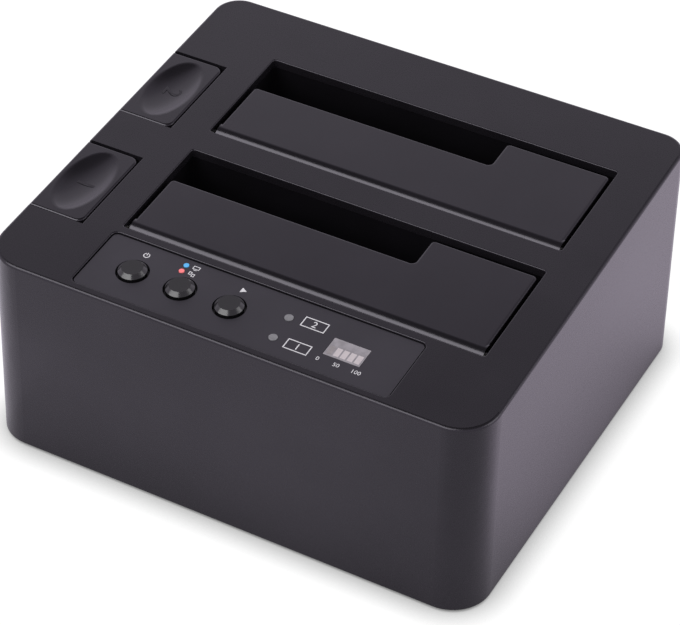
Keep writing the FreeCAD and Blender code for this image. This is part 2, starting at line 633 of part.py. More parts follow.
    ears = sketch_on(body, "XY_Plane", BOARD_TOP)
    holes = sketch_on(body, "XY_Plane", BOARD_TOP)
    for across, along in board_posts():
        inward = "0 - ear_reach / 2" if "slot_deep" in along else "ear_reach / 2"
        outward = "ear_reach / 2" if "slot_deep" in along else "0 - ear_reach / 2"
        wall_side = "%s + %s %s bay_wall" % (along, inward, "-" if "slot_deep" in along else "+")
        low, high = sorted((wall_side, "%s + %s" % (along, outward)), key=value_of)
        rectangle(ears, across + " - ear_wide / 2", across + " + ear_wide / 2", low, high)
        circle(holes, across, along, "screw_radius + screw_clearance")
    pad(body, ears, "%s - %s + bay_floor_thick" % (WELL_FLOOR_FOOT, BOARD_TOP))
    pocket(body, holes, "bay_floor", backwards=True)
    return body


def hinge_y(shift):
    return "(slot_front + flap_front_gap + barrel_radius - %s)" % shift


def hinge_z(shift):
    return "(deck_mid + %s * tan(deck_slope) - (flap_drop + barrel_radius) / cos(deck_slope))" % hinge_y(shift)


def on_hinge(body, shift):
    """Move a body drawn about a flap's hinge line to that line."""
    body.Placement = Placement(Vector(), Rotation(Vector(1, 0, 0), 1))
    bind(body, "Placement.Base.y", hinge_y(shift))
    bind(body, "Placement.Base.z", hinge_z(shift))
    bind(body, "Placement.Rotation.Angle", "deck_slope")


FLAP_LEFT = "(slot_middle - slot_long / 2 + flap_side_gap)"
FLAP_RIGHT = "(slot_middle + slot_long / 2 - flap_side_gap)"
FLAP_REAR = "(slot_deep - flap_front_gap - barrel_radius - flap_rear_gap)"
FLAP_FOOT = "(barrel_radius - flap_thick)"


def make_flap(name, shift):
    """Notched flap: a plate that runs into a hinge barrel along its front edge."""
    body = new_body(name + "_flap")
    notch_x = "(slot_middle - slot_long / 2 + notch_long)"
    plate = sketch_on(body, "XY_Plane", FLAP_FOOT)
    polygon(plate, [(FLAP_LEFT, "0"), (FLAP_RIGHT, "0"), (FLAP_RIGHT, FLAP_REAR), (notch_x, FLAP_REAR),
                    (notch_x, FLAP_REAR + " - notch_deep"), (FLAP_LEFT, FLAP_REAR + " - notch_deep")])
    pad(body, plate, "flap_thick")
    inner_edge = value_of(FLAP_REAR + " - notch_deep") - 0.02
    dress("Fillet", body, lambda edge: is_line_along(edge, UP) and middle(edge).y > inner_edge, "notch_corner")
    top = value_of("barrel_radius")
    dress("Fillet", body, lambda edge: near(edge.BoundBox.ZMin, top) and near(edge.BoundBox.ZMax, top)
          and middle(edge).y > 1.0, "flap_round")
    barrel = sketch_on(body, "YZ_Plane", FLAP_LEFT)
    circle(barrel, "0", "0", "barrel_radius")
    pad(body, barrel, "slot_long - 2 * flap_side_gap")
    ribs = sketch_on(body, "XY_Plane", FLAP_FOOT)
    for k in range(3):
        left = "(%s + flap_thick + spring_gap_start + 2 * spring_gap_long + %d * rib_pitch)" % (FLAP_LEFT, k)
        rectangle(ribs, left, left + " + flap_rib_thick", "barrel_radius / 2",
                  FLAP_REAR + " - notch_deep - flap_thick")
    pad(body, ribs, "flap_rib_high", backwards=True)
    hollow = sketch_on(body, "XY_Plane", "0 - barrel_radius")
    gap_left = "(%s + spring_gap_start)" % FLAP_LEFT
    reach = "(spring_coil + 2 * spring_wire + run_gap)"
    rectangle(hollow, gap_left, gap_left + " + spring_gap_long", "0 - " + reach, reach)
    pocket(body, hollow, "barrel_radius", backwards=True)
    coil_room = sketch_on(body, "YZ_Plane", gap_left)
    circle(coil_room, "0", "0", reach)
    pocket(body, coil_room, "spring_gap_long", backwards=True)
    low_cut = sketch_on(body, "XY_Plane", "0 - barrel_radius")
    rectangle(low_cut, gap_left, gap_left + " + spring_gap_long", reach + " - flap_thick", "barrel_radius + flap_thick")
    pocket(body, low_cut, "barrel_radius + " + FLAP_FOOT, backwards=True)
    bore = sketch_on(body, "YZ_Plane", FLAP_LEFT)
    circle(bore, "0", "0", "pin_radius + run_gap")
    pocket(body, bore, "slot_long", backwards=True)
    on_hinge(body, shift)
    return body


def make_hinge_pin(name, shift):
    body = new_body(name + "_hinge_pin")
    section = sketch_on(body, "YZ_Plane", WELL_LEFT + " - bay_wall")
    circle(section, "0", "0", "pin_radius")
    pad(body, section, "slot_long + 2 * well_slack + 2 * bay_wall")
    ends = [value_of(WELL_LEFT + " - bay_wall"), value_of(WELL_RIGHT + " + bay_wall")]
    dress("Chamfer", body, lambda edge: any(near(middle(edge).x, end) for end in ends), "pin_chamfer")
    on_hinge(body, shift)
    return body


WIRE_TURN = 45  # degrees from one flat of a spring's wire to the next


def helix_coil(radius, wire, pitch, turns):
    """A coil of eight-sided wire about +Z that starts at +X on the ground plane."""
    spine = Part.makeHelix(pitch, pitch * turns, radius)
    corners = [Vector(radius + wire * math.cos(turn), 0, wire * math.sin(turn))
               for turn in (math.radians(WIRE_TURN * k) for k in range(round(360 / WIRE_TURN) + 1))]
    section = Part.makePolygon(corners)
    return Part.Wire(spine).makePipeShell([section], True, True)


def add_shape(label, shape, placement):
    feature = doc.addObject("Part::Feature", label)
    feature.Label = label
    feature.Shape = shape
    feature.Placement = placement
    return feature


def make_flap_spring(name, shift):
    """Torsion spring on the hinge pin: one leg under the flap, one on the well's front wall."""
    radius, wire, turns = size("spring_coil"), size("spring_wire"), int(size("spring_turns"))
    length, leg = size("spring_pitch") * turns, size("spring_leg")
    coil = helix_coil(radius, wire, size("spring_pitch"), turns)
    lean = math.degrees(math.asin((radius + value_of(FLAP_FOOT) - 2 * wire) / leg))
    flap_leg = Part.makeCylinder(wire, leg, Vector(radius, 0, 0), ALONG)
    flap_leg.rotate(Vector(), UP, lean)
    wall_leg = Part.makeCylinder(wire, size("spring_wall_leg"), Vector(radius, 0, length), ALONG)
    wall_leg.rotate(Vector(), UP, 0 - lean - 90)
    spring = coil.fuse([flap_leg, wall_leg])
    start = value_of(FLAP_LEFT + " + spring_gap_start + spring_gap_long / 2") - length / 2
    hinge = Placement(Vector(start, value_of(hinge_y(shift)), value_of(hinge_z(shift))),
                      Rotation(ACROSS, size("deck_slope")))
    return add_shape(name + "_flap_spring", spring, hinge.multiply(Placement(Vector(), Rotation(ALONG, 90))))


def make_sata_socket(name, shift):
    """Upright drive connector: one long slot with a key at each end."""
    body = new_body(name + "_sata_socket")
    back = "(slot_front + slot_deep + well_slack - socket_back - %s)" % shift
    block = sketch_on(body, "XY_Plane", BOARD_TOP)
    rectangle(block, "socket_middle - socket_long / 2", "socket_middle + socket_long / 2",
              back + " - socket_wide", back)
    pad(body, block, "socket_high")
    slot = sketch_on(body, "XY_Plane", BOARD_TOP + " + socket_high")
    low, high = back + " - socket_wide / 2 - socket_slot_wide / 2", back + " - socket_wide / 2 + socket_slot_wide / 2"
    half, key = "socket_slot_long / 2", "socket_key"
    polygon(slot, [("socket_middle - " + half, low), ("socket_middle + " + half, low),
                   ("socket_middle + " + half, high + " + " + key),
                   ("socket_middle + %s - %s" % (half, key), high + " + " + key),
                   ("socket_middle + %s - %s" % (half, key), high), ("socket_middle - " + half, high)])
    pocket(body, slot, "socket_slot_deep")
    return body


# ---------------------------------------------------------------- eject mechanism

def make_eject_button(name):
    """Cap that wraps over the case's left edge, with a finger dish and a long plunger."""
    body = new_body(name + "_eject_button")
    centre = name + "_button_middle"
    outer = "(width / 2 - button_inset)"
    low, high = centre + " - button_long / 2", centre + " + button_long / 2"
    block = sketch_on(body, "XY_Plane", skirt_foot(name))
    rectangle(block, "0 - " + outer, BUTTON_INNER, low, high)
    pad(body, block, "skirt_high + button_long")
    dress("Fillet", body, lambda edge: is_line_along(edge, UP)
          and near(middle(edge).x, value_of(BUTTON_INNER)), "button_corner")
    deck = sketch_on(body, "XY_Plane", "0 - button_drop", on_deck_plane=True)
    rectangle(deck, "0 - width", "width", "0 - depth", "depth")
    pocket(body, deck, "deck_mid", backwards=True)
    dress("Fillet", body, lambda edge: all(
        abs(v.Point.z - deck_height(v.Point.y, size("button_drop"))) < 0.05 for v in edge.Vertexes), "button_round")
    hollow = sketch_on(body, "XY_Plane", skirt_foot(name))
    rectangle(hollow, "button_thick - " + outer, BUTTON_INNER + " - button_thick",
              low + " + button_thick", high + " - button_thick")
    drop = "button_long / 2 * tan(deck_slope)"
    pocket(body, hollow, "skirt_high - button_drop - button_thick - dish_deep - " + drop, backwards=True)
    dish = body.newObject("PartDesign::SubtractiveEllipsoid", body.Label + "_dish")
    plane = [item for item in body.Origin.OriginFeatures if item.Role == "XY_Plane"][0]
    dish.AttachmentSupport = [(plane, "")]
    dish.MapMode = "FlatFace"
    dish.AttachmentOffset = Placement(Vector(), Rotation(ACROSS, 1))
    bind(dish, "AttachmentOffset.Base.x", PLUNGER_X)
    bind(dish, "AttachmentOffset.Base.y", centre)
    bind(dish, "AttachmentOffset.Base.z", "deck_mid + %s * tan(deck_slope) - button_drop + dish_deep" % centre)
    bind(dish, "AttachmentOffset.Rotation.Angle", "deck_slope")
    bind(dish, "Radius1", "dish_deep * 2")
    bind(dish, "Radius2", "(width / 2 - button_inset + %s - 2 * dish_edge) / sqrt(3)" % BUTTON_INNER)
    bind(dish, "Radius3", "dish_long / sqrt(3)")
    doc.recompute()
    rim = value_of("dish_edge") / 2
    left, right = rim - value_of(outer), value_of(BUTTON_INNER) - rim
    dress("Fillet", body, lambda edge: edge.BoundBox.XMin > left and edge.BoundBox.XMax < right
          and all(near(v.Point.z, deck_height(v.Point.y, size("button_drop"))) for v in edge.Vertexes), "dish_round")
    plunger = sketch_on(body, "XY_Plane", PLUNGER_FOOT)
    circle(plunger, PLUNGER_X, centre, "plunger_radius")
    ceiling = "(deck_mid + %s * tan(deck_slope) - button_drop - dish_deep - button_thick / 2)" % centre
    pad(body, plunger, "%s - %s" % (ceiling, PLUNGER_FOOT))
    foot = value_of(PLUNGER_FOOT)
    dress("Fillet", body, lambda edge: near(middle(edge).z, foot), "plunger_tip")
    groove = sketch_on(body, "XY_Plane", CLIP_FOOT)
    circle(groove, PLUNGER_X, centre, "plunger_radius + plunger_gap")
    circle(groove, PLUNGER_X, centre, "plunger_radius - clip_depth")
    pocket(body, groove, "collar_thick", backwards=True)
    return body


def make_eject_clip(name):
    """Spring clip in the plunger's groove that stops the button under the shelf."""
    body = new_body(name + "_eject_clip")
    ring = sketch_on(body, "XY_Plane", CLIP_FOOT + " + screw_clearance")
    circle(ring, PLUNGER_X, name + "_button_middle", "collar_radius")
    circle(ring, PLUNGER_X, name + "_button_middle", "plunger_radius - clip_depth + screw_clearance")
    pad(body, ring, "collar_thick - 2 * screw_clearance")
    return body


def make_eject_spring(name):
    """Compression spring round the plunger, between the shelf and the button."""
    along = size(name + "_button_middle")
    foot = value_of("shelf_height + shelf_thick + coil_wire")
    head = value_of("deck_mid + %s_button_middle * tan(deck_slope) - button_drop - button_thick - dish_deep"
                    " - button_long / 2 * tan(deck_slope) - coil_wire" % name)
    turns = int(size("coil_turns"))
    coil = helix_coil(size("coil_radius"), size("coil_wire"), (head - foot - size("fit_gap")) / turns, turns)
    return add_shape(name + "_eject_spring", coil, Placement(Vector(value_of(PLUNGER_X), along, foot), Rotation()))


def make_ejector(name):
    """Lever under the well: pushed down by the plunger, it lifts the drive off its connector."""
    body = new_body(name + "_ejector")
    arm = sketch_on(body, "XZ_Plane")
    rectangle(arm, "0 - " + LEVER_ARM, "lift_arm", "0 - lever_thick / 2", "lever_thick / 2")
    pad(body, arm, "lever_wide", both_ways=True)
    rounds = sketch_on(body, "XZ_Plane")
    circle(rounds, "0 - " + LEVER_ARM, "0", "lever_thick / 2")
    circle(rounds, "0", "0", "lever_hub")
    circle(rounds, "lift_arm", "0", "lever_thick / 2")
    pad(body, rounds, "lever_wide", both_ways=True)
    lift = sketch_on(body, "XZ_Plane", "lever_wide / 2")
    circle(lift, "lift_arm", "0", "lever_thick / 2")
    pad(body, lift, "lift_bar", backwards=True)
    bore = sketch_on(body, "XZ_Plane", "0 - lever_wide")
    circle(bore, "0", "0", "lever_pin_radius + run_gap")
    pocket(body, bore, "lever_wide * 2", backwards=True)
    body.Placement = Placement(Vector(), Rotation(ALONG, 1))
    bind(body, "Placement.Base.x", PIVOT_X)
    bind(body, "Placement.Base.y", name + "_button_middle")
    bind(body, "Placement.Base.z", PIVOT_Z)
    bind(body, "Placement.Rotation.Angle", "asin(eject_travel / 2 / %s)" % LEVER_ARM)
    return body


def make_ejector_pin(name):
    body = new_body(name + "_ejector_pin")
    reach = "(lever_wide / 2 + lever_side_gap + lever_ear)"
    section = sketch_on(body, "XZ_Plane", "%s - %s_button_middle" % (reach, name))
    circle(section, PIVOT_X, PIVOT_Z, "lever_pin_radius")
    pad(body, section, "2 * " + reach, backwards=True)
    return body


def make_bay_parts():
    for name, shift in slot_rows():
        make_flap(name, shift)
        make_hinge_pin(name, shift)
        make_flap_spring(name, shift)
        make_sata_socket(name, shift)
        make_eject_button(name)
        make_eject_clip(name)
        make_eject_spring(name)
        make_ejector(name)
        make_ejector_pin(name)


# ---------------------------------------------------------------- control panel

def key_spots():
    return [("power_button", "0 - key_first"), ("mode_button", "0 - key_second"), ("start_button", "0 - key_third")]


def make_control_panel():
    body = new_body("control_panel")
    plate = sketch_on(body, "XY_Plane", PANEL_FOOT)
    rounded(plate, "0 - panel_left", "panel_right", "0 - panel_front", "0 - panel_rear", "panel_corner")
    for _, across in key_spots():
        circle(plate, across, "0 - key_row", "key_hole")
    for along in ("blue_dot_y", "red_dot_y"):
        circle(plate, "0 - mode_dot_x", "0 - " + along, "mode_dot + lens_gap")
    for along in ("drive_dot_rear", "drive_dot_front"):
        circle(plate, "drive_dot_x", "0 - " + along, "drive_dot + lens_gap")
    rectangle(plate, "window_left", "window_right", "0 - window_front", "0 - window_rear")
    pad(body, plate, "panel_thick")
    on_deck(body)
    return body


def make_key(label, across):
    """Round push key: chamfered cap, flange under the panel, stem over its switch."""
    body = new_body(label)
    cap = sketch_on(body, "XY_Plane", KEY_FLANGE_TOP)
    circle(cap, across, "0 - key_row", "key_radius")
    pad(body, cap, "panel_thick + key_flange_gap + key_proud")
    top = value_of(PANEL_TOP + " + key_proud")
    dress("Chamfer", body, lambda edge: near(middle(edge).z, top), "key_chamfer")
    flange = sketch_on(body, "XY_Plane", KEY_FLANGE_TOP)
    circle(flange, across, "0 - key_row", "key_flange")
    pad(body, flange, "key_flange_thick", backwards=True)
    stem = sketch_on(body, "XY_Plane", KEY_FLANGE_TOP + " - key_flange_thick")
    circle(stem, across, "0 - key_row", "key_stem")
    pad(body, stem, "key_stem_long", backwards=True)
    on_deck(body)
    return body


def make_panel_board():
    body = new_body("panel_board")
    plate = sketch_on(body, "XY_Plane", PANEL_BOARD_TOP + " - board_thick")
    rectangle(plate, "0 - panel_post_x - panel_board_side", "panel_post_x + panel_board_side",
              "panel_board_gap - depth / 2", "0 - panel_board_rear")
    for across, along in panel_board_posts():
        circle(plate, across, along, "screw_radius + screw_clearance")
    pad(body, plate, "board_thick")
    on_deck(body)
    return body


def make_switches():
    body = new_body("tact_switches")
    cases = sketch_on(body, "XY_Plane", PANEL_BOARD_TOP)
    knobs = sketch_on(body, "XY_Plane", PANEL_BOARD_TOP + " + switch_high")
    for _, across in key_spots():
        rectangle(cases, across + " - switch_side / 2", across + " + switch_side / 2",
                  "0 - key_row - switch_side / 2", "switch_side / 2 - key_row")
        circle(knobs, across, "0 - key_row", "switch_knob")
    pad(body, cases, "switch_high")
    pad(body, knobs, "switch_knob_high")
    on_deck(body)
    return body


def make_lenses(label, spots, radius):
    """Round lenses with a flange under the panel and a light pipe down to the board."""
    body = new_body(label)
    domes = sketch_on(body, "XY_Plane", PANEL_FOOT)
    flanges = sketch_on(body, "XY_Plane", PANEL_FOOT)
    pipes = sketch_on(body, "XY_Plane", PANEL_BOARD_TOP + " + led_high + lens_gap")
    for across, along in spots:
        circle(domes, across, along, radius)
        circle(flanges, across, along, radius + " + lens_flange")
        circle(pipes, across, along, radius)
    pad(body, domes, "panel_thick + lens_proud")
    pad(body, flanges, "lens_flange_thick", backwards=True)
    pad(body, pipes, "%s - %s - led_high - lens_gap" % (PANEL_FOOT, PANEL_BOARD_TOP))
    on_deck(body)
    return body


def bar_left(k):
    return "((window_left + window_right) / 2 - ((bar_count - 1) / 2 - %d) * bar_pitch - bar_wide / 2)" % k


def make_progress_window():
    """Smoked window with a shallow seat for each light bar."""
    body = new_body("progress_window")
    plate = sketch_on(body, "XY_Plane", PANEL_FOOT)
    rectangle(plate, "window_left + lens_gap", "window_right - lens_gap", "lens_gap - window_front",
              "0 - window_rear - lens_gap")
    pad(body, plate, "panel_thick")
    flange = sketch_on(body, "XY_Plane", PANEL_FOOT)
    rectangle(flange, "window_left - lens_flange", "window_right + lens_flange", "0 - window_front - lens_flange",
              "lens_flange - window_rear")
    pad(body, flange, "lens_flange_thick", backwards=True)
    seats = sketch_on(body, "XY_Plane", PANEL_TOP)
    for k in range(int(size("bar_count"))):
        rectangle(seats, bar_left(k), bar_left(k) + " + bar_wide", "bar_edge - window_front",
                  "bar_edge + bar_long - window_front")
    pocket(body, seats, "bar_deep")
    on_deck(body)
    return body


def make_progress_bars():
    body = new_body("progress_bars")
    blocks = sketch_on(body, "XY_Plane", PANEL_TOP)
    for k in range(int(size("bar_count"))):
        rectangle(blocks, bar_left(k), bar_left(k) + " + bar_wide", "bar_edge - window_front",
                  "bar_edge + bar_long - window_front")
    pad(body, blocks, "bar_deep", backwards=True)
    on_deck(body)
    return body


def mode_spots():
    return [("0 - mode_dot_x", "0 - blue_dot_y"), ("0 - mode_dot_x", "0 - red_dot_y")]


def drive_spots():
    return [("drive_dot_x", "0 - drive_dot_rear"), ("drive_dot_x", "0 - drive_dot_front")]


def make_board_leds():
    """Square light sources on the panel board, one under each lens and light bar."""
    body = new_body("board_leds")
    chips = sketch_on(body, "XY_Plane", PANEL_BOARD_TOP)
    spots = mode_spots() + drive_spots()
    spots += [(bar_left(k) + " + bar_wide / 2", "bar_edge + bar_long / 2 - window_front")
              for k in range(int(size("bar_count")))]
    for across, along in spots:
        rectangle(chips, across + " - led_side / 2", across + " + led_side / 2",
                  along + " - led_side / 2", along + " + led_side / 2")
    pad(body, chips, "led_high")
    on_deck(body)
    return body


def make_panel_parts():
    make_control_panel()
    for label, across in key_spots():
        make_key(label, across)
    make_panel_board()
    make_switches()
    make_screws("panel_screws", panel_board_posts(), PANEL_BOARD_TOP + " - board_thick", True,
                "board_thick + post_base - fit_gap", deck_frame=True)
    make_lenses("blue_mode_lens", mode_spots()[:1], "mode_dot")
    make_lenses("red_mode_lens", mode_spots()[1:], "mode_dot")
    make_lenses("drive_led_lenses", drive_spots(), "drive_dot")
    make_progress_window()
    make_progress_bars()
    make_board_leds()


# ---------------------------------------------------------------- rear sockets and board parts

def port_block(label, port_x, wide, high, deep):
    """Outer block of a rear socket, standing on the board with its face in the rear wall."""
    body = new_body(label)
    face = sketch_on(body, "XZ_Plane", "port_inset - depth / 2")
    rectangle(face, "%s - %s / 2" % (port_x, wide), "%s + %s / 2" % (port_x, wide), BOARD_TOP,
              "%s + %s" % (BOARD_TOP, high))
    pad(body, face, deep)
    return body


def make_dc_jack():
    body = port_block("dc_jack", JACK_X, "jack_wide", "jack_high", "jack_deep")
    middle_z = BOARD_TOP + " + jack_high / 2"
    bore = sketch_on(body, "XZ_Plane", "port_inset - depth / 2")
    circle(bore, JACK_X, middle_z, "jack_bore")
    pocket(body, bore, "jack_bore_deep", backwards=True)
    pin = sketch_on(body, "XZ_Plane", "port_inset - depth / 2 + wall / 2")
    circle(pin, JACK_X, middle_z, "jack_pin")
    pad(body, pin, "jack_bore_deep")
    return body


def make_usb_socket():
    """Square device socket with a stepped top and a contact tongue in its middle."""
    body = port_block("usb_socket", "usb_x", "usb_wide", "usb_high", "usb_deep")
    half, step = "(usb_wide / 2 - usb_shell)", "usb_step"
    low, high = BOARD_TOP + " + usb_shell", BOARD_TOP + " + usb_high - usb_shell"
    shoulder = BOARD_TOP + " + usb_shoulder"
    mouth = sketch_on(body, "XZ_Plane", "port_inset - depth / 2")
    polygon(mouth, [("usb_x - " + half, low), ("usb_x + " + half, low), ("usb_x + " + half, shoulder),
                    ("usb_x + " + step, shoulder), ("usb_x + " + step, high), ("usb_x - " + step, high),
                    ("usb_x - " + step, shoulder), ("usb_x - " + half, shoulder)])
    pocket(body, mouth, "usb_deep - usb_shell * 4", backwards=True)
    tongue = sketch_on(body, "XZ_Plane", "port_inset - depth / 2 + wall / 2")
    rectangle(tongue, "usb_x - usb_tongue", "usb_x + usb_tongue", BOARD_TOP + " + usb_tongue_low",
              BOARD_TOP + " + usb_tongue_low + usb_tongue_high")
    pad(body, tongue, "usb_deep - wall")
    return body


def make_esata_socket():
    body = port_block("esata_socket", "sata_x", "sata_wide", "sata_high", "sata_deep")
    mouth = sketch_on(body, "XZ_Plane", "port_inset - depth / 2")
    rectangle(mouth, "sata_x - sata_wide / 2 + sata_shell", "sata_x + sata_wide / 2 - sata_shell",
              BOARD_TOP + " + sata_shell", BOARD_TOP + " + sata_high - sata_shell")
    pocket(body, mouth, "sata_deep - sata_shell * 2", backwards=True)
    tongue = sketch_on(body, "XZ_Plane", "port_inset - depth / 2 + wall / 2")
    rectangle(tongue, "sata_x - sata_tongue", "sata_x + sata_tongue",
              BOARD_TOP + " + sata_high / 2 - sata_shell / 2", BOARD_TOP + " + sata_high / 2 + sata_shell / 2")
    pad(body, tongue, "sata_deep - wall")
    return body


def make_headers_and_cable():
    """Two cable headers, one above the other, and the flat cable that joins the boards."""
    lower = new_body("board_header")
    foot = sketch_on(lower, "XY_Plane", BOARD_TOP)
    rectangle(foot, "cable_x - header_wide / 2", "cable_x + header_wide / 2",
              "0 - cable_y - header_deep / 2", "header_deep / 2 - cable_y")
    pad(lower, foot, "header_high")
    upper = new_body("panel_header")
    board_foot = "(%s - board_thick)" % PANEL_BOARD_TOP
    along = "((%s * sin(deck_slope) - cable_y) / cos(deck_slope))" % board_foot
    head = sketch_on(upper, "XY_Plane", board_foot)
    rectangle(head, "cable_x - header_wide / 2", "cable_x + header_wide / 2",
              along + " - header_deep / 2", along + " + header_deep / 2")
    pad(upper, head, "header_high", backwards=True)
    on_deck(upper)
    cable = new_body("ribbon_cable")
    strip = sketch_on(cable, "XY_Plane", BOARD_TOP + " + header_high")
    rectangle(strip, "cable_x - cable_wide / 2", "cable_x + cable_wide / 2",
              "0 - cable_y - cable_thick / 2", "cable_thick / 2 - cable_y")
    top = ("(deck_mid - cable_y * tan(deck_slope) + (%s - header_high) / cos(deck_slope)"
           " - header_deep / 2 * tan(deck_slope))" % board_foot)
    pad(cable, strip, "%s - %s - header_high" % (top, BOARD_TOP))


def make_chips():
    body = new_body("controller_chips")
    plates = sketch_on(body, "XY_Plane", BOARD_TOP)
    for along in ("chip_row", "chip_row - slot_pitch"):
        rectangle(plates, "chip_x - chip_side / 2", "chip_x + chip_side / 2",
                  along + " - chip_side / 2", along + " + chip_side / 2")
    pad(body, plates, "chip_high")
    return body


def make_capacitors():
    body = new_body("capacitors")
    cans = sketch_on(body, "XY_Plane", BOARD_TOP)
    for k in range(2):
        circle(cans, "0 - capacitor_x - %d * capacitor_pitch" % k, "capacitor_y", "capacitor_radius")
    pad(body, cans, "capacitor_high")
    tops = value_of(BOARD_TOP + " + capacitor_high")
    dress("Fillet", body, lambda edge: near(middle(edge).z, tops), "capacitor_round")
    return body


def make_board_parts():
    make_main_board()
    make_screws("bay_screws", board_posts(), "%s + bay_floor_thick" % WELL_FLOOR_FOOT, False,
                "%s + bay_floor_thick - %s + screw_bite - board_thick * 2" % (WELL_FLOOR_FOOT, BOARD_TOP))
    make_dc_jack()
    make_usb_socket()
    make_esata_socket()
    make_headers_and_cable()
    make_chips()
    make_capacitors()


def make_case_parts():
    make_cover()
    make_bottom_plate()
    make_feet()
    make_screws("base_screws", corner_posts(), PLATE_TOP + " + post_base - fit_gap - screw_seat", True,
                "screw_seat + fit_gap + screw_bite")
    make_bay_frame()


def check_and_write():
    """Stop on any failed object or bad shape, then write one file for each sub-part."""
    doc.recompute()
    for item in doc.Objects:
        if "Invalid" in item.State or "Error" in item.State:
            raise RuntimeError("failed object: " + item.Name)
    tools = {item.Name for link in doc.Objects if link.TypeId == "PartDesign::Boolean" for item in link.Group}
    parts = [item for item in doc.Objects
             if item.TypeId in ("PartDesign::Body", "Part::Feature") and item.Name not in tools]
    os.makedirs("parts", exist_ok=True)
    for item in parts:
        if item.Shape.isNull() or not item.Shape.isValid() or not item.Shape.Solids:
            raise RuntimeError("bad shape: " + item.Label)
        item.Shape.exportStep("parts/%s.step" % item.Label)
    print(len(parts), "sub-parts written")


make_case_parts()
make_bay_parts()
make_panel_parts()
make_board_parts()
check_and_write()
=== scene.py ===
import json
import math

import bmesh
import bpy
from bpy.props import FloatProperty, FloatVectorProperty, PointerProperty
from mathutils import Matrix, Vector


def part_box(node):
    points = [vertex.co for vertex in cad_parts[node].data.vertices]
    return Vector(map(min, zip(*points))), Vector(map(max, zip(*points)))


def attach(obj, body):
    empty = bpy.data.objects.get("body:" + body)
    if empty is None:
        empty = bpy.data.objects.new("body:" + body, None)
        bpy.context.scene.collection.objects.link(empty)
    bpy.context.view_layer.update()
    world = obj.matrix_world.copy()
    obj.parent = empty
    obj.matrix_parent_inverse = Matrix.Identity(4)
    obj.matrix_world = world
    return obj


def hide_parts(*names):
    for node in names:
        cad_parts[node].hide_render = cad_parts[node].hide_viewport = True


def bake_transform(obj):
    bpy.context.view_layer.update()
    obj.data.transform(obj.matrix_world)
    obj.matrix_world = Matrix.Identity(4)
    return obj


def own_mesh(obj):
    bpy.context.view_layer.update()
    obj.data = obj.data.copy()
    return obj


bl_info = {
    "name": "Drive duplicator dresser",
    "version": (1, 0, 0),
    "blender": (4, 5, 0),
    "location": "3D View > Sidebar > Duplicator",
    "description": "Finishes, printed marks and a studio for a two-bay drive duplicator",
    "category": "Object",
}

# Lengths are in metres: X to the right, Y to the rear, where the sockets are, Z up.
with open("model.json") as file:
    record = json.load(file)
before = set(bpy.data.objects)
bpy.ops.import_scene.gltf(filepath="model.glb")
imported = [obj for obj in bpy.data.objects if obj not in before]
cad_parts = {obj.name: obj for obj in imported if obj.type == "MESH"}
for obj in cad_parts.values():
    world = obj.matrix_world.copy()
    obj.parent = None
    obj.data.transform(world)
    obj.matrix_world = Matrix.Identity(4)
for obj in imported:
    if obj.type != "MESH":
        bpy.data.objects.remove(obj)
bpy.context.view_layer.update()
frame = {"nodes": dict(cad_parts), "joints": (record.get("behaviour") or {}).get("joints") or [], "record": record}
NODES = frame["nodes"]


# ---------------------------------------------------------------- places

# The raised digits in the eject buttons' dishes.
BAY_DIGITS = (("rear", "2"), ("front", "1"))
DIGIT_ROOT = 0.0002  # how deep a digit is set into its dish
DIGIT_SHIFT = 0.0002  # how far to the right of the button's middle it stands
DROP_HEIGHT = 0.01  # from where above a button the dish's surface is looked for

# The printed marks of the control panel.
KEY_MARK_GAP = 0.0016  # from a key's edge to the middle of its symbol
POWER_MARK_SHARE = 1.1  # the power symbol's height beside the other key's
MODE_MARK_GAP = 0.0029  # from a mode lens to the middle of its symbol
MODE_MARK_SHARE = 0.85  # the mode symbols' height beside the keys'
DRIVE_MARK_GAP = 0.0054  # from the drive lenses to the middle of their frames
DRIVE_MARK_RISE = 0.0002  # how far to the rear of its lens a frame stands
LENS_INSET = 0.0012  # from the edge of the pair of drive lenses to a lens's middle
FRAME_HALF_LONG, FRAME_HALF_WIDE, FRAME_LINE = 0.0034, 0.0018, 0.00028
SCALE_GAP = 0.0016  # from the progress window to the middle of its numbers
SCALE_PLACES = (("0", 0.02), ("50", 0.48), ("100", 0.98))  # as shares of the window


def node_middle(node):
    low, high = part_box(node)
    return (Vector(low) + Vector(high)) / 2


def joint_named(name):
    return next(joint for joint in frame["joints"] if joint["name"] == name)


# The keys are pressed straight into the deck, so their way is the deck's normal.
DECK_NORMAL = -Vector(joint_named("power_press")["axis"]).normalized()
DECK_ACROSS = Vector((1, 0, 0))
DECK_REARWARD = DECK_NORMAL.cross(DECK_ACROSS)


def on_panel(x, y):
    """A point of the panel's face, reckoned from its highest edge, the rear one."""
    low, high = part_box("control_panel")
    slope = DECK_REARWARD.z / DECK_REARWARD.y
    return Vector((x, y, high[2] - (high[1] - y) * slope))


# ---------------------------------------------------------------- settings

def colour(name, text, default):
    return FloatVectorProperty(name=name, description=text, default=default,
                               size=3, subtype="COLOR", min=0, max=1)


def length(name, text, default):
    return FloatProperty(name=name, description=text, default=default,
                         subtype="DISTANCE", unit="LENGTH", min=0)


def power(name, text, default):
    return FloatProperty(name=name, description=text, default=default,
                         subtype="POWER", unit="POWER", min=0)


def share(name, text, default):
    return FloatProperty(name=name, description=text, default=default, min=0, max=1)


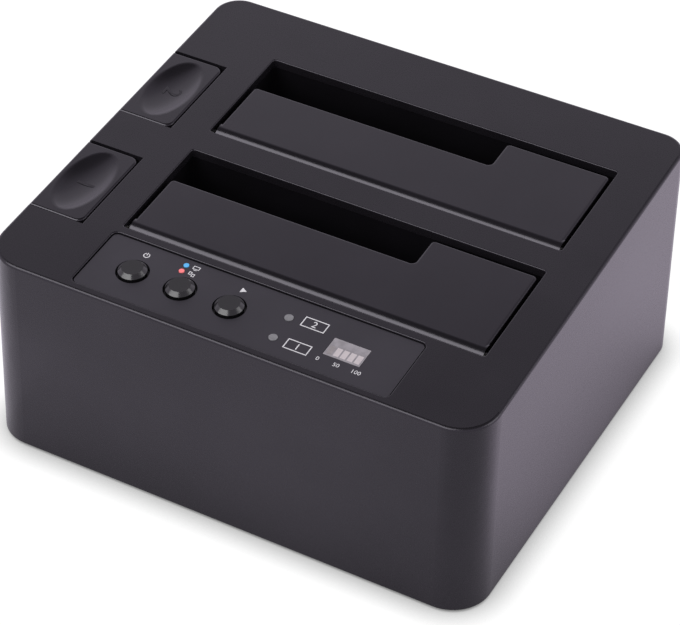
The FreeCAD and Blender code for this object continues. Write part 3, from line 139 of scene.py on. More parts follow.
class FinishSettings(bpy.types.PropertyGroup):
    case: colour("Case", "Moulded black of the case and the flaps", (0.0075, 0.0066, 0.0084))
    panel: colour("Panel", "Printed black of the control panel", (0.0155, 0.0143, 0.0178))
    key: colour("Keys", "Black of the three round keys", (0.0085, 0.0080, 0.0092))
    rubber: colour("Rubber", "Soft black of the feet", (0.018, 0.018, 0.019))
    steel: colour("Steel", "Plated steel of screws, pins and springs", (0.62, 0.61, 0.59))
    blue_dot: colour("Blue lens", "Lens of the first mode", (0.075, 0.33, 0.64))
    red_dot: colour("Red lens", "Lens of the second mode", (0.72, 0.16, 0.17))
    grey_dot: colour("Drive lenses", "Milky lenses beside the drive numbers",
                     (0.17, 0.165, 0.18))
    window: colour("Progress window", "Smoked window over the light bars",
                   (0.25, 0.23, 0.255))
    bar: colour("Light bars", "Milky bars of the progress display", (0.45, 0.40, 0.425))
    print_white: colour("Printing", "Pale grey printing on the panel", (0.62, 0.60, 0.64))
    board: colour("Circuit board", "Solder mask of the boards", (0.012, 0.11, 0.045))
    grain_scale: FloatProperty(
        name="Grain", description="Grain of the moulded texture, in waves per metre",
        default=2600, min=100)


class MarkSettings(bpy.types.PropertyGroup):
    ink_thick: length("Ink thickness", "How far the printing stands on the panel", 0.00004)
    digit_high: length("Bay digit height", "Height of the digit in an eject button's dish",
                       0.0052)
    digit_proud: length("Bay digit relief", "How far the digit stands up in the dish", 0.00022)
    symbol_high: length("Symbol height", "Height of the symbols over the keys", 0.0019)
    drive_digit_high: length("Drive digit height", "Height of the drive numbers", 0.0021)
    scale_digit_high: length("Scale digit height", "Height of the progress scale's numbers",
                             0.0013)


class StudioSettings(bpy.types.PropertyGroup):
    focal_length: FloatProperty(
        name="Focal length", description="Lens of the studio camera", default=141.93,
        subtype="DISTANCE_CAMERA", unit="CAMERA", min=1)
    camera_place: FloatVectorProperty(
        name="Camera", description="Where the camera stands",
        default=(0.2618, -0.4999, 0.4964), subtype="TRANSLATION", unit="LENGTH")
    camera_turn: FloatVectorProperty(
        name="Camera turn", description="Axis of the camera's turn, as long as its angle",
        default=(2.204763, 0.570231, -0.242757))
    floor: colour("Floor", "Pale studio floor", (0.86, 0.86, 0.87))
    floor_lift: share("Floor lift", "How much of the backdrop's white the floor shows", 0.90)
    floor_white: FloatProperty(
        name="Floor white", description="How bright that white is", default=1.09, min=0)
    floor_gloss: share("Floor in reflections", "Share of the backdrop that reflections see",
                       0.80)
    contact_reach: length("Contact shadow", "How far the shadow at the case's foot reaches",
                          0.0085)
    mirrored_reach: length("Mirrored shadow", "How far that shadow reaches in reflections",
                           0.030)
    side_tint: colour("Side tint", "Tint that the right face mirrors from the floor",
                      (0.93, 0.82, 1.0))
    backdrop_tint: colour("Backdrop tint", "Cool tint of the backdrop in reflections",
                          (0.93, 0.865, 1.0))
    softbox_power: power("Front softbox", "Power of the strip softbox in front", 12.5)
    fill_power: power("Rear softbox", "Power of the softbox behind the case", 0.6)
    side_power: power("Side softbox", "Power of the softbox at the right", 3.0)


# ---------------------------------------------------------------- shader maths

class Signal:
    """A shader socket that takes part in arithmetic."""

    def __init__(self, finish, socket):
        self.finish = finish
        self.socket = socket

    def _with(self, operation, first, second):
        return self.finish.node("Math", {"operation": operation}, {0: first, 1: second})

    def __add__(self, other):
        return self._with("ADD", self, other)

    __radd__ = __add__

    def __sub__(self, other):
        return self._with("SUBTRACT", self, other)

    def __rsub__(self, other):
        return self._with("SUBTRACT", other, self)

    def __mul__(self, other):
        return self._with("MULTIPLY", self, other)

    __rmul__ = __mul__


def varied(middle, signal, spread):
    """A value that a noise moves up and down around its middle."""
    return middle + (signal - 0.5) * spread


def scaled(tint, by):
    return tuple(min(1.0, part * by) for part in tint)


class Finish:
    """The node tree of one material or of the world, built a node at a time."""

    def __init__(self, name, holder=None):
        self.holder = holder or bpy.data.materials.new(name)
        self.holder.use_nodes = True
        self.tree = self.holder.node_tree
        self.tree.nodes.clear()

    def node(self, kind, settings=None, inputs=None, output=0):
        """Add a node, set it up, feed its sockets and give back one of its outputs."""
        made = self.tree.nodes.new("ShaderNode" + kind)
        for key, setting in (settings or {}).items():
            setattr(made, key, setting)
        for key, given in (inputs or {}).items():
            self.feed(made.inputs[key], given)
        return Signal(self, made.outputs[output])

    def feed(self, socket, given):
        if isinstance(given, Signal):
            self.tree.links.new(given.socket, socket)
        else:
            socket.default_value = given

    def place(self):
        """Where a point lies in the piece's own metres."""
        return self.node("TexCoord", output="Object")

    def place_along(self, axis):
        return self.node("SeparateXYZ", None, {"Vector": self.place()}, axis)

    def noise(self, waves, detail=2.0, roughness=0.5, where=None):
        """A cloud noise with so many waves per metre."""
        return self.node("TexNoise", {"noise_dimensions": "3D"},
                         {"Vector": where or self.place(), "Scale": waves, "Detail": detail,
                          "Roughness": roughness}, "Fac")

    def range(self, signal, low, high, to_low, to_high):
        """A soft step from one value to another while the signal goes from low to high."""
        return self.node("MapRange", {"interpolation_type": "SMOOTHSTEP"},
                         {"Value": signal, "From Min": low, "From Max": high,
                          "To Min": to_low, "To Max": to_high})

    def blend(self, amount, first, second):
        made = self.node("Mix", {"data_type": "RGBA"}, {"Factor": amount}, 2)
        for key, tint in ((6, first), (7, second)):
            self.feed(made.socket.node.inputs[key], self.opaque(tint))
        return made

    def patches(self, signal, between, first, second, most=1.0):
        """The first tint, going over to the second where a noise is high."""
        return self.blend(self.range(signal, *between, 0.0, most), first, second)

    @staticmethod
    def opaque(tint):
        return tint if isinstance(tint, Signal) else (*tint, 1)

    def bump(self, height, deep, strength):
        return self.node("Bump", None,
                         {"Height": height, "Distance": deep, "Strength": strength})

    def surface(self, shader, kind="Material"):
        output = self.tree.nodes.new("ShaderNodeOutput" + kind)
        self.tree.links.new(shader.socket, output.inputs["Surface"])
        return self.holder

    def principled(self, **sockets):
        """A Principled surface. Its sockets go by their names in small letters."""
        names = {key.replace("_", " ").title(): given for key, given in sockets.items()}
        if "Ior" in names:
            names["IOR"] = names.pop("Ior")
        for key in ("Base Color", "Specular Tint", "Emission Color"):
            if key in names:
                names[key] = self.opaque(names[key])
        return self.surface(self.node("BsdfPrincipled", None, names))


# ---------------------------------------------------------------- finishes

MICRON = 0.000001

# Moulded plastic. Shares are of the grain setting, waves are per metre.
COARSE_SHARE, SPECK_SHARE = 0.31, 0.7
FLOW_WAVES, HAZE_WAVES = 38.0, 9.0
GLOSS_TINT = (0.94, 0.90, 1.0)
FLAP_ROUGHNESS, FLAP_IOR = 0.21, 1.52  # a little glossier than the case
BAY_PAINTED_SHADE, BAY_ROUGHNESS, BAY_IOR = 0.45, 0.5, 1.22  # dull, and painted darker as painted shade, so the bays stay dark
PANEL_GRAIN_SHARE, PANEL_ROUGHNESS, PANEL_RELIEF, PANEL_IOR = 1.2, 0.36, 0.3, 1.58

# From a key's axis to where its turned edge begins and where the cap ends.
KEY_EDGE, KEY_END = (0.00282, 0.00288), (0.00388, 0.00392)
NICKEL_SHADE = 1.15  # how much paler than the zinc

# Tints that no setting holds.
DUST = (0.06, 0.058, 0.055)
GOLD_PLATING = (0.52, 0.44, 0.22)
NYLON = (0.018, 0.018, 0.019)
SWITCH_BODY = (0.06, 0.06, 0.062)
LED_EPOXY = (0.72, 0.72, 0.62)
# The ribbon's valleys are painted darker than its wires: painted shade.
RIBBON_VALLEY_PAINTED_SHADE, RIBBON_WIRE = (0.30, 0.30, 0.31), (0.52, 0.52, 0.54)
RIBBON_STRIPE = (0.45, 0.03, 0.03)
CHIP_DARK, CHIP_PALE = (0.016, 0.016, 0.017), (0.030, 0.030, 0.032)
CAN_SLEEVE, CAN_CROWN = (0.02, 0.024, 0.05), (0.62, 0.62, 0.64)

# Measures of small things, in metres.
WIRE_PITCH = 0.00127
STRIPE_EDGE = (0.0011, 0.0013)  # from the ribbon's left edge
DIM_BAR_EDGE = (0.0016, 0.0022)  # from the left edge of the light bars
CROWN_EDGE = (0.0012, 0.0010)  # below the top of the capacitors

MODE_GLOW, BAR_GLOW = 0.25, 0.05


def moulded_plastic(name, tint, grain, roughness=0.27, relief=0.18, ior=1.46):
    """Spark-eroded black moulding: a fine grain, a faint flow mottle and handling sheen."""
    finish = Finish(name)
    fine = finish.noise(grain, roughness=0.55)
    coarse = finish.noise(grain * COARSE_SHARE, detail=1.5)
    flow = finish.noise(FLOW_WAVES, detail=3.0, roughness=0.55)
    haze = finish.noise(HAZE_WAVES)
    speck = finish.noise(grain * SPECK_SHARE, detail=1.0)
    base = finish.patches(flow, (0.32, 0.70), scaled(tint, 0.86), scaled(tint, 1.16))
    base = finish.patches(speck, (0.66, 0.80), base, scaled(tint, 1.9), most=0.20)
    rough = varied(varied(roughness, haze, 0.10), fine, 0.10)
    normal = finish.bump(fine * 0.65 + coarse * 0.35, 40 * MICRON * relief, strength=0.4)
    return finish.principled(base_color=base, roughness=rough, normal=normal, ior=ior,
                             specular_tint=GLOSS_TINT)


def key_plastic(name, tint, grain, middle):
    """A satin cap whose turned edge, at some distance from its axis, is polished and painted darker, as painted
    shade.
    """
    finish = Finish(name)
    offset = finish.node("VectorMath", {"operation": "SUBTRACT"},
                         {0: finish.place(), 1: tuple(middle)})
    sideways = finish.node("VectorMath", {"operation": "CROSS_PRODUCT"},
                           {0: offset, 1: tuple(DECK_NORMAL)})
    away = finish.node("VectorMath", {"operation": "LENGTH"}, {0: sideways}, "Value")
    edge = finish.range(away, *KEY_EDGE, 0.0, 1.0) * finish.range(away, *KEY_END, 1.0, 0.0)
    fine = finish.noise(grain)
    rough = varied(0.40, fine, 0.10) - edge * 0.20
    # The turned edge's base colour is painted darker: painted shade. Its polish is the lower roughness and the
    # coat.
    base = finish.blend(edge, scaled(tint, 1.15), scaled(tint, 0.55))
    normal = finish.bump(fine, 30 * MICRON, strength=0.4)
    return finish.principled(base_color=base, roughness=rough, normal=normal, ior=1.5,
                             coat_weight=edge * 0.30, coat_roughness=0.16)


def soft_rubber(name, tint):
    """Dull rubber with pores and some dust."""
    finish = Finish(name)
    dust = finish.noise(260.0, detail=4.0, roughness=0.6)
    pores = finish.noise(3200.0, roughness=0.6)
    base = finish.patches(dust, (0.45, 0.75), tint, DUST, most=0.5)
    return finish.principled(base_color=base, roughness=varied(0.72, dust, 0.2), ior=1.48,
                             normal=finish.bump(pores, 50 * MICRON, strength=0.5))


def plated_steel(name, tint):
    """Bright zinc with fine drawn lines and a dull bloom."""
    finish = Finish(name)
    stretched = finish.node("Mapping", None,
                            {"Vector": finish.place(), "Scale": (1.0, 6.0, 0.35)})
    lines = finish.noise(2400.0, detail=3.0, roughness=0.6, where=stretched)
    bloom = finish.noise(240.0, detail=3.0, roughness=0.6)
    base = finish.patches(bloom, (0.4, 0.75), tint, scaled(tint, 0.72), most=0.6)
    return finish.principled(base_color=base, metallic=1.0,
                             roughness=varied(0.26 + bloom * 0.16, lines, 0.12),
                             normal=finish.bump(lines, 20 * MICRON, strength=0.5))


def circuit_board(name, tint):
    """Solder mask over tracks, with a grid of small plated holes."""
    finish = Finish(name)
    where = finish.place()
    cells = finish.node("TexVoronoi", {"feature": "DISTANCE_TO_EDGE", "distance": "EUCLIDEAN"},
                        {"Vector": where, "Scale": 210.0, "Randomness": 0.0}, "Distance")
    wander = finish.node("TexVoronoi", {"feature": "DISTANCE_TO_EDGE"},
                         {"Vector": where, "Scale": 160.0, "Randomness": 1.0}, "Distance")
    tracks = finish.range(wander, 0.03, 0.06, 1.0, 0.0)
    holes = finish.range(cells, 0.44, 0.46, 0.0, 1.0)
    cloud = finish.noise(120.0, detail=3.0)
    base = finish.blend(tracks, tint, scaled(tint, 1.9))
    base = finish.blend(holes, base, GOLD_PLATING)
    return finish.principled(base_color=base, metallic=holes * 0.9, ior=1.5,
                             roughness=0.34 + cloud * 0.12,
                             normal=finish.bump(tracks - holes, 40 * MICRON, strength=0.5))


def connector_moulding(name, tint, grain):
    """Dull nylon, finer in grain than the case."""
    finish = Finish(name)
    fine = finish.noise(grain * 1.4)
    flow = finish.noise(90.0)
    base = finish.blend(flow, scaled(tint, 0.8), scaled(tint, 1.3))
    return finish.principled(base_color=base, roughness=varied(0.5, fine, 0.16), ior=1.52,
                             normal=finish.bump(fine, 40 * MICRON, strength=0.5))


def milky_lens(name, tint, glow=0.0, roughness=0.26):
    """A small light guide with clouds in it, that may glow a little."""
    finish = Finish(name)
    cloud = finish.noise(900.0, detail=3.0, roughness=0.6)
    base = finish.patches(cloud, (0.3, 0.7), scaled(tint, 0.9), scaled(tint, 1.1))
    return finish.principled(base_color=base, roughness=varied(roughness, cloud, 0.1),
                             normal=finish.bump(cloud, 20 * MICRON, strength=0.3),
                             emission_color=base, emission_strength=glow, ior=1.49)


def light_bars(name, tint):
    """Milky bars, of which the first is dim."""
    finish = Finish(name)
    low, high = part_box("progress_bars")
    across = finish.place_along("X")
    near, far = DIM_BAR_EDGE
    first = finish.range(across, low[0] + near, low[0] + far, 0.0, 1.0)
    cloud = finish.noise(1100.0, detail=3.0, roughness=0.6)
    base = finish.blend(first, scaled(tint, 0.45), tint)
    base = finish.patches(cloud, (0.35, 0.75), base, scaled(tint, 0.75), most=0.35)
    return finish.principled(base_color=base, roughness=varied(0.35, cloud, 0.1),
                             normal=finish.bump(cloud, 20 * MICRON, strength=0.3),
                             emission_color=base, emission_strength=BAR_GLOW, ior=1.49)


def smoked_window(name, tint):
    """The smooth grey cover of the light bars."""
    finish = Finish(name)
    cloud = finish.noise(500.0)
    base = finish.patches(cloud, (0.3, 0.7), scaled(tint, 0.85), scaled(tint, 1.1))
    return finish.principled(base_color=base, roughness=0.22 + cloud * 0.06, ior=1.5,
                             normal=finish.bump(cloud, 10 * MICRON, strength=0.3))


def flat_cable(name):
    """Grey ribbon with its wires side by side, painted shade in the valleys between them, and one marked edge."""
    finish = Finish(name)
    across = finish.place_along("X")
    ribs = finish.node("Math", {"operation": "SINE"}, {0: across * (2 * math.pi / WIRE_PITCH)})
    low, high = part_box("ribbon_cable")
    near, far = STRIPE_EDGE
    stripe = finish.range(across, low[0] + near, low[0] + far, 1.0, 0.0)
    # Darker in the valleys between the wires: painted shade.
    base = finish.patches(ribs, (-1.0, 0.2), RIBBON_VALLEY_PAINTED_SHADE, RIBBON_WIRE)
    base = finish.blend(stripe, base, RIBBON_STRIPE)
    return finish.principled(base_color=base, roughness=0.55 + ribs * 0.05, ior=1.5,
                             normal=finish.bump(ribs, 250 * MICRON, strength=0.8))


def chip_body(name):
    """Matt black epoxy."""
    finish = Finish(name)
    fine = finish.noise(3000.0, roughness=0.6)
    base = finish.blend(finish.noise(150.0), CHIP_DARK, CHIP_PALE)
    return finish.principled(base_color=base, roughness=varied(0.58, fine, 0.2), ior=1.5,
                             normal=finish.bump(fine, 50 * MICRON, strength=0.6))


def capacitor_can(name):
    """A dark sleeve that leaves the metal crown bare."""
    finish = Finish(name)
    low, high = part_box("capacitors")
    near, far = CROWN_EDGE
    crown = finish.range(finish.place_along("Z"), high[2] - near, high[2] - far, 0.0, 1.0)
    scuffs = finish.noise(700.0, detail=4.0, roughness=0.6)
    base = finish.blend(crown, CAN_SLEEVE, CAN_CROWN)
    return finish.principled(base_color=base, metallic=crown * 0.95,
                             roughness=0.30 + scuffs * 0.14,
                             normal=finish.bump(scuffs, 20 * MICRON, strength=0.4))


def glossy_ink(name, tint):
    """Screen printing: opaque, a little worn, with the screen's fine grain."""
    finish = Finish(name)
    screen = finish.noise(5200.0, roughness=0.6)
    base = finish.patches(screen, (0.35, 0.7), tint, scaled(tint, 0.7), most=0.5)
    return finish.principled(base_color=base, roughness=varied(0.42, screen, 0.1), ior=1.5,
                             normal=finish.bump(screen, 10 * MICRON, strength=0.3))


SLOT_NODES = {}
for entry in frame["record"]["subparts"]:
    SLOT_NODES.setdefault(entry["material_slot"], []).append(entry["node"])


def dress(slot, material):
    """Give every CAD node of one material slot its finish."""
    dress_nodes(SLOT_NODES[slot], material)


def dress_nodes(names, material):
    for name in names:
        holder = NODES[name]
        if not holder.material_slots:
            holder.data.materials.append(material)
        for slot_of_node in holder.material_slots:
            slot_of_node.material = material


# ---------------------------------------------------------------- shapes of the marks

STROKE = 0.13  # the width of a symbol's strokes, as a share of its height
TEXT_HALF = 0.5  # half the depth of the digits before they are scaled
WELD = 1e-7


def finish_mesh(name, shape):
    """Weld a bmesh, turn its faces outward and hand it over as a mesh."""
    bmesh.ops.remove_doubles(shape, verts=shape.verts, dist=WELD)
    bmesh.ops.recalc_face_normals(shape, faces=shape.faces)
    data = bpy.data.meshes.new(name)
    shape.to_mesh(data)
    shape.free()
    return data


def lettering(text, high, thick):
    """A bmesh of raised digits: middle at the origin, up along Y, base at z = 0."""
    curve = bpy.data.curves.new("digits", "FONT")
    curve.body = text
    curve.align_x = "CENTER"
    curve.resolution_u = 3
    curve.extrude = TEXT_HALF
    holder = bpy.data.objects.new("digits", curve)
    bpy.context.scene.collection.objects.link(holder)
    bpy.context.view_layer.update()
    flat = bpy.data.meshes.new_from_object(holder)
    shape = bmesh.new()
    shape.from_mesh(flat)
    bpy.data.objects.remove(holder)
    bpy.data.curves.remove(curve)
    bpy.data.meshes.remove(flat)
    across = [vertex.co.x for vertex in shape.verts]
    upward = [vertex.co.y for vertex in shape.verts]
    low, top = Vector((min(across), min(upward))), Vector((max(across), max(upward)))
    middle = (low + top) / 2
    by = high / (top.y - low.y)
    bmesh.ops.translate(shape, verts=shape.verts, vec=(-middle.x, -middle.y, TEXT_HALF))
    bmesh.ops.scale(shape, verts=shape.verts, vec=(by, by, thick))
    return shape


def set_down(shape, spot, rightward, upward):
    """Turn a flat-made shape so that its X and Y run along two directions, at a spot."""
    across = rightward.normalized()
    outward = across.cross(upward.normalized())
    up = outward.cross(across)
    turn = Matrix((across, up, outward)).transposed().to_4x4()
    bmesh.ops.transform(shape, matrix=Matrix.Translation(spot) @ turn, verts=shape.verts)


def swept_arc(shape, radius, wide, thick, start, turn, steps):
    """Add a flat arc: its section at every step, the walls between them and two ends."""
    section = [Vector((radius + side * wide / 2, 0, high))
               for side, high in ((-1, 0), (1, 0), (1, thick), (-1, thick))]
    rings = []
    for step in range(steps + 1):
        way = Matrix.Rotation(start + turn * step / steps, 3, "Z")
        rings.append([shape.verts.new(way @ corner) for corner in section])
    for ring, following in zip(rings, rings[1:]):
        for here, there in ((0, 1), (1, 2), (2, 3), (3, 0)):
            shape.faces.new((ring[here], ring[there], following[there], following[here]))
    shape.faces.new(rings[0])
    shape.faces.new(rings[-1])


def slab(shape, left, foot, right, head, thick):
    """Add a flat bar that lies on z = 0."""
    made = bmesh.ops.create_cube(shape, size=1.0)["verts"]
    bmesh.ops.scale(shape, verts=made, vec=(right - left, head - foot, thick))
    bmesh.ops.translate(shape, verts=made,
                        vec=((left + right) / 2, (foot + head) / 2, thick / 2))


def frame_outline(shape, left, foot, right, head, line, thick):
    """A rectangular outline made of four bars that only touch."""
    slab(shape, left, foot, right, foot + line, thick)
    slab(shape, left, head - line, right, head, thick)
    slab(shape, left, foot + line, left + line, head - line, thick)
    slab(shape, right - line, foot + line, right, head - line, thick)


def power_symbol(high, thick):
    """A ring with a gap at the top and a bar in the gap."""
    shape = bmesh.new()
    line = high * STROKE
    swept_arc(shape, radius=high * 0.38, wide=line, thick=thick, start=math.radians(120),
              turn=math.radians(300), steps=20)
    slab(shape, left=-line / 2, foot=high * 0.02, right=line / 2, head=high * 0.50,
         thick=thick)
    return shape


def play_symbol(high, thick):
    """A triangle that points to the right."""
    shape = bmesh.new()
    radius = high * 0.56
    bmesh.ops.create_cone(shape, cap_ends=True, segments=3, radius1=radius, radius2=radius,
                          depth=thick)
    bmesh.ops.rotate(shape, verts=shape.verts, cent=(0, 0, 0),
                     matrix=Matrix.Rotation(-math.pi / 2, 3, "Z"))
    bmesh.ops.translate(shape, verts=shape.verts, vec=(0, 0, thick / 2))
    return shape


def screen_symbol(high, thick):
    """A screen on a stand: the dock works as drives of a computer."""
    shape = bmesh.new()
    line = high * STROKE
    frame_outline(shape, left=-high * 0.6, foot=-high * 0.25, right=high * 0.6,
                  head=high * 0.5, line=line, thick=thick)
    slab(shape, left=-high * 0.3, foot=-high * 0.5, right=high * 0.3,
         head=-high * 0.5 + line, thick=thick)
    return shape


def copy_symbol(high, thick):
    """Two sheets with a step between them: one drive is copied to the other."""
    shape = bmesh.new()
    line = high * STROKE
    frame_outline(shape, left=-high * 0.6, foot=-high * 0.2, right=-high * 0.05,
                  head=high * 0.5, line=line, thick=thick)
    frame_outline(shape, left=high * 0.05, foot=-high * 0.5, right=high * 0.6,
                  head=high * 0.2, line=line, thick=thick)
    return shape


def framed_digit(digit, high, thick):
    """A number in a rectangular frame, as one mesh."""
    whole = bmesh.new()
    frame_outline(whole, -FRAME_HALF_LONG, -FRAME_HALF_WIDE, FRAME_HALF_LONG,
                  FRAME_HALF_WIDE, FRAME_LINE, thick)
    shape = lettering(digit, high, thick)
    data = bpy.data.meshes.new("digit")
    shape.to_mesh(data)
    shape.free()
    whole.from_mesh(data)
    bpy.data.meshes.remove(data)
    return whole


def new_piece(name, data, material):
    """An object at the origin that shows a mesh in one material."""
    piece = bpy.data.objects.new(name, data)
    bpy.context.scene.collection.objects.link(piece)
    data.materials.clear()
    data.materials.append(material)
    return piece


def keep(name, shape, material, body):
    """A shape becomes a piece that rides on a body."""
    piece = new_piece(name, finish_mesh(name, shape), material)
    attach(piece, body)


# ---------------------------------------------------------------- operators

class DressCase(bpy.types.Operator):
    """Give the cover, base, flaps, eject buttons and bay frame their black moulding."""
    bl_idname = "duplicator.dress_case"
    bl_label = "Dress the case"

    def execute(self, context):
        finishes = context.scene.duplicator_finish
        tint, grain = tuple(finishes.case), finishes.grain_scale
        dress("plastic", moulded_plastic("satin_black_moulding", tint, grain))
        dress_nodes(("front_flap", "rear_flap", "front_eject_button", "rear_eject_button"),
                    moulded_plastic("flap_and_button_moulding", tint, grain,
                                    roughness=FLAP_ROUGHNESS, ior=FLAP_IOR))
        # The bay frame's tint is painted darker than the case: painted shade in the deep bays.
        dress_nodes(("bay_frame",),
                    moulded_plastic("dull_bay_moulding", scaled(tint, BAY_PAINTED_SHADE), grain,
                                    roughness=BAY_ROUGHNESS, ior=BAY_IOR))
        dress("rubber", soft_rubber("foot_rubber", tuple(finishes.rubber)))
        return {"FINISHED"}


class DressPanel(bpy.types.Operator):
    """Give the control panel, its keys, lenses and progress window their finishes."""
    bl_idname = "duplicator.dress_panel"
    bl_label = "Dress the control panel"

    def execute(self, context):
        finishes = context.scene.duplicator_finish
        grain = finishes.grain_scale
        dress("panel", moulded_plastic("panel_film", tuple(finishes.panel),
                                       grain * PANEL_GRAIN_SHARE, PANEL_ROUGHNESS,
                                       PANEL_RELIEF, PANEL_IOR))
        for node in SLOT_NODES["key"]:
            dress_nodes((node,), key_plastic(node + "_cap", tuple(finishes.key), grain,
                                             node_middle(node)))
        dress("blue_lens", milky_lens("blue_light_guide", tuple(finishes.blue_dot), MODE_GLOW))
        dress("red_lens", milky_lens("red_light_guide", tuple(finishes.red_dot), MODE_GLOW))
        dress("clear_lens", milky_lens("drive_light_guides", tuple(finishes.grey_dot),
                                       roughness=0.4))
        dress("smoked", smoked_window("progress_glass", tuple(finishes.window)))
        dress("bar", light_bars("progress_light_bars", tuple(finishes.bar)))
        return {"FINISHED"}


class DressMetal(bpy.types.Operator):
    """Give screws, pins, springs and socket shells their plated steel."""
    bl_idname = "duplicator.dress_metal"
    bl_label = "Dress the metal parts"

    def execute(self, context):
        tint = tuple(context.scene.duplicator_finish.steel)
        dress("steel", plated_steel("zinc_plated_steel", tint))
        dress("port_metal", plated_steel("nickel_socket_shell", scaled(tint, NICKEL_SHADE)))
        return {"FINISHED"}


class DressBoards(bpy.types.Operator):
    """Give the circuit boards and everything soldered to them their finishes."""
    bl_idname = "duplicator.dress_boards"
    bl_label = "Dress the circuit boards"

    def execute(self, context):
        finishes = context.scene.duplicator_finish
        grain = finishes.grain_scale
        dress("board", circuit_board("green_solder_mask", tuple(finishes.board)))
        dress("connector", connector_moulding("connector_nylon", NYLON, grain))
        dress("switch", connector_moulding("switch_body", SWITCH_BODY, grain))
        dress("led", milky_lens("led_epoxy", LED_EPOXY))
        dress("cable", flat_cable("ribbon_jacket"))
        dress("chip", chip_body("chip_epoxy"))
        dress("can", capacitor_can("capacitor_sleeve"))
        return {"FINISHED"}


class MountSprings(bpy.types.Operator):
    """Put the springs in as pieces of their own, in plated steel, in place of the model's."""
    bl_idname = "duplicator.mount_springs"
    bl_label = "Mount the springs"

    def execute(self, context):
        steel = plated_steel("spring_wire", tuple(context.scene.duplicator_finish.steel))
        for bay in ("rear", "front"):
            self.hinge_spring(bay, steel)
            self.eject_spring(bay, steel)
        return {"FINISHED"}

    @staticmethod
    def wound(node, name, steel):
        """The wire of a spring, welded into one piece."""
        shape = bmesh.new()
        shape.from_mesh(NODES[node].data)
        piece = new_piece(name, finish_mesh(name, shape), steel)
        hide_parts(node)
        return piece

    def hinge_spring(self, bay, steel):
        """The flap's spring, copied in steel and left where the model has it."""
        node = bay + "_flap_spring"
        piece = self.wound(node, bay + "_hinge_spring", steel)
        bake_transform(piece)

    def eject_spring(self, bay, steel):
        """The coil stays on its shelf, with the case."""
        node = bay + "_eject_spring"
        low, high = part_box(node)
        press = bay + "_eject_press"
        travel = max(joint_named(press)["range_m"])
        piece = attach(self.wound(node, bay + "_plunger_spring", steel), "case")
        1 - travel / (high.z - low.z)
        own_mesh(piece)


class MarkEjectButtons(bpy.types.Operator):
    """Mould the bay numbers into the eject buttons' dishes."""
    bl_idname = "duplicator.mark_eject_buttons"
    bl_label = "Number the eject buttons"

    def execute(self, context):
        marks = context.scene.duplicator_marks
        finishes = context.scene.duplicator_finish
        material = moulded_plastic("raised_digit", tuple(finishes.case), finishes.grain_scale,
                                   roughness=0.30, relief=0.3)
        for bay, digit in BAY_DIGITS:
            node = bay + "_eject_button"
            low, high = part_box(node)
            middle = node_middle(node)
            above = Vector((middle.x + DIGIT_SHIFT, middle.y, high[2] + DROP_HEIGHT))
            hit, dish = NODES[node].ray_cast(above, Vector((0, 0, -1)))[:2]
            if not hit:
                raise RuntimeError("no dish under the digit of " + node)
            shape = lettering(digit, marks.digit_high, marks.digit_proud + DIGIT_ROOT)
            set_down(shape, dish - DECK_NORMAL * DIGIT_ROOT, -DECK_REARWARD, DECK_ACROSS)
            keep(bay + "_bay_digit", shape, material, bay + "_eject")
        return {"FINISHED"}


class MarkPanel(bpy.types.Operator):
    """Print the key symbols, the drive numbers and the progress scale on the panel."""
    bl_idname = "duplicator.mark_panel"
    bl_label = "Print the panel"

    def execute(self, context):
        marks = context.scene.duplicator_marks
        ink = glossy_ink("panel_print", tuple(context.scene.duplicator_finish.print_white))
        thick, symbol = marks.ink_thick, marks.symbol_high

        def print_on(name, shape, x, y):
            set_down(shape, on_panel(x, y), DECK_ACROSS, DECK_REARWARD)
            keep(name, shape, ink, "case")

        power_key, start_key = node_middle("power_button"), node_middle("start_button")
        low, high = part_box("power_button")
        rise = (high[1] - low[1]) / 2 + KEY_MARK_GAP
        print_on("power_mark", power_symbol(symbol * POWER_MARK_SHARE, thick),
                 power_key.x, power_key.y + rise)
        print_on("start_mark", play_symbol(symbol, thick), start_key.x, start_key.y + rise)

        blue, red = node_middle("blue_mode_lens"), node_middle("red_mode_lens")
        print_on("drive_mode_mark", screen_symbol(symbol * MODE_MARK_SHARE, thick),
                 blue.x + MODE_MARK_GAP, blue.y)
        print_on("copy_mode_mark", copy_symbol(symbol * MODE_MARK_SHARE, thick),
                 red.x + MODE_MARK_GAP, red.y)

        low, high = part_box("drive_led_lenses")
        for digit, y in (("2", high[1] - LENS_INSET), ("1", low[1] + LENS_INSET)):
            print_on("drive_%s_mark" % digit,
                     framed_digit(digit, marks.drive_digit_high, thick),
                     high[0] + DRIVE_MARK_GAP, y + DRIVE_MARK_RISE)

        low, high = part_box("progress_window")
        for text, part in SCALE_PLACES:
            print_on("scale_%s_mark" % text, lettering(text, marks.scale_digit_high, thick),
                     low[0] + (high[0] - low[0]) * part, low[1] - SCALE_GAP)
        return {"FINISHED"}


# Softboxes: name, place, width and height in metres, and the setting of their power.
SOFTBOXES = (
    ("front_softbox", (-0.385, -0.76, 0.91), (1.3, 0.78), "softbox_power"),
    ("rear_softbox", (-0.55, 0.95, 0.75), (1.3, 0.55), "fill_power"),
    ("side_softbox", (1.0, 0.25, 0.45), (0.7, 0.6), "side_power"),
)
SOFTBOX_AIM = (0, 0, 0.03)

FLOOR_HALF = 4.0
PAPER_WAVES, PAPER_SHADE = 14.0, 0.985  # the floor's faint clouds

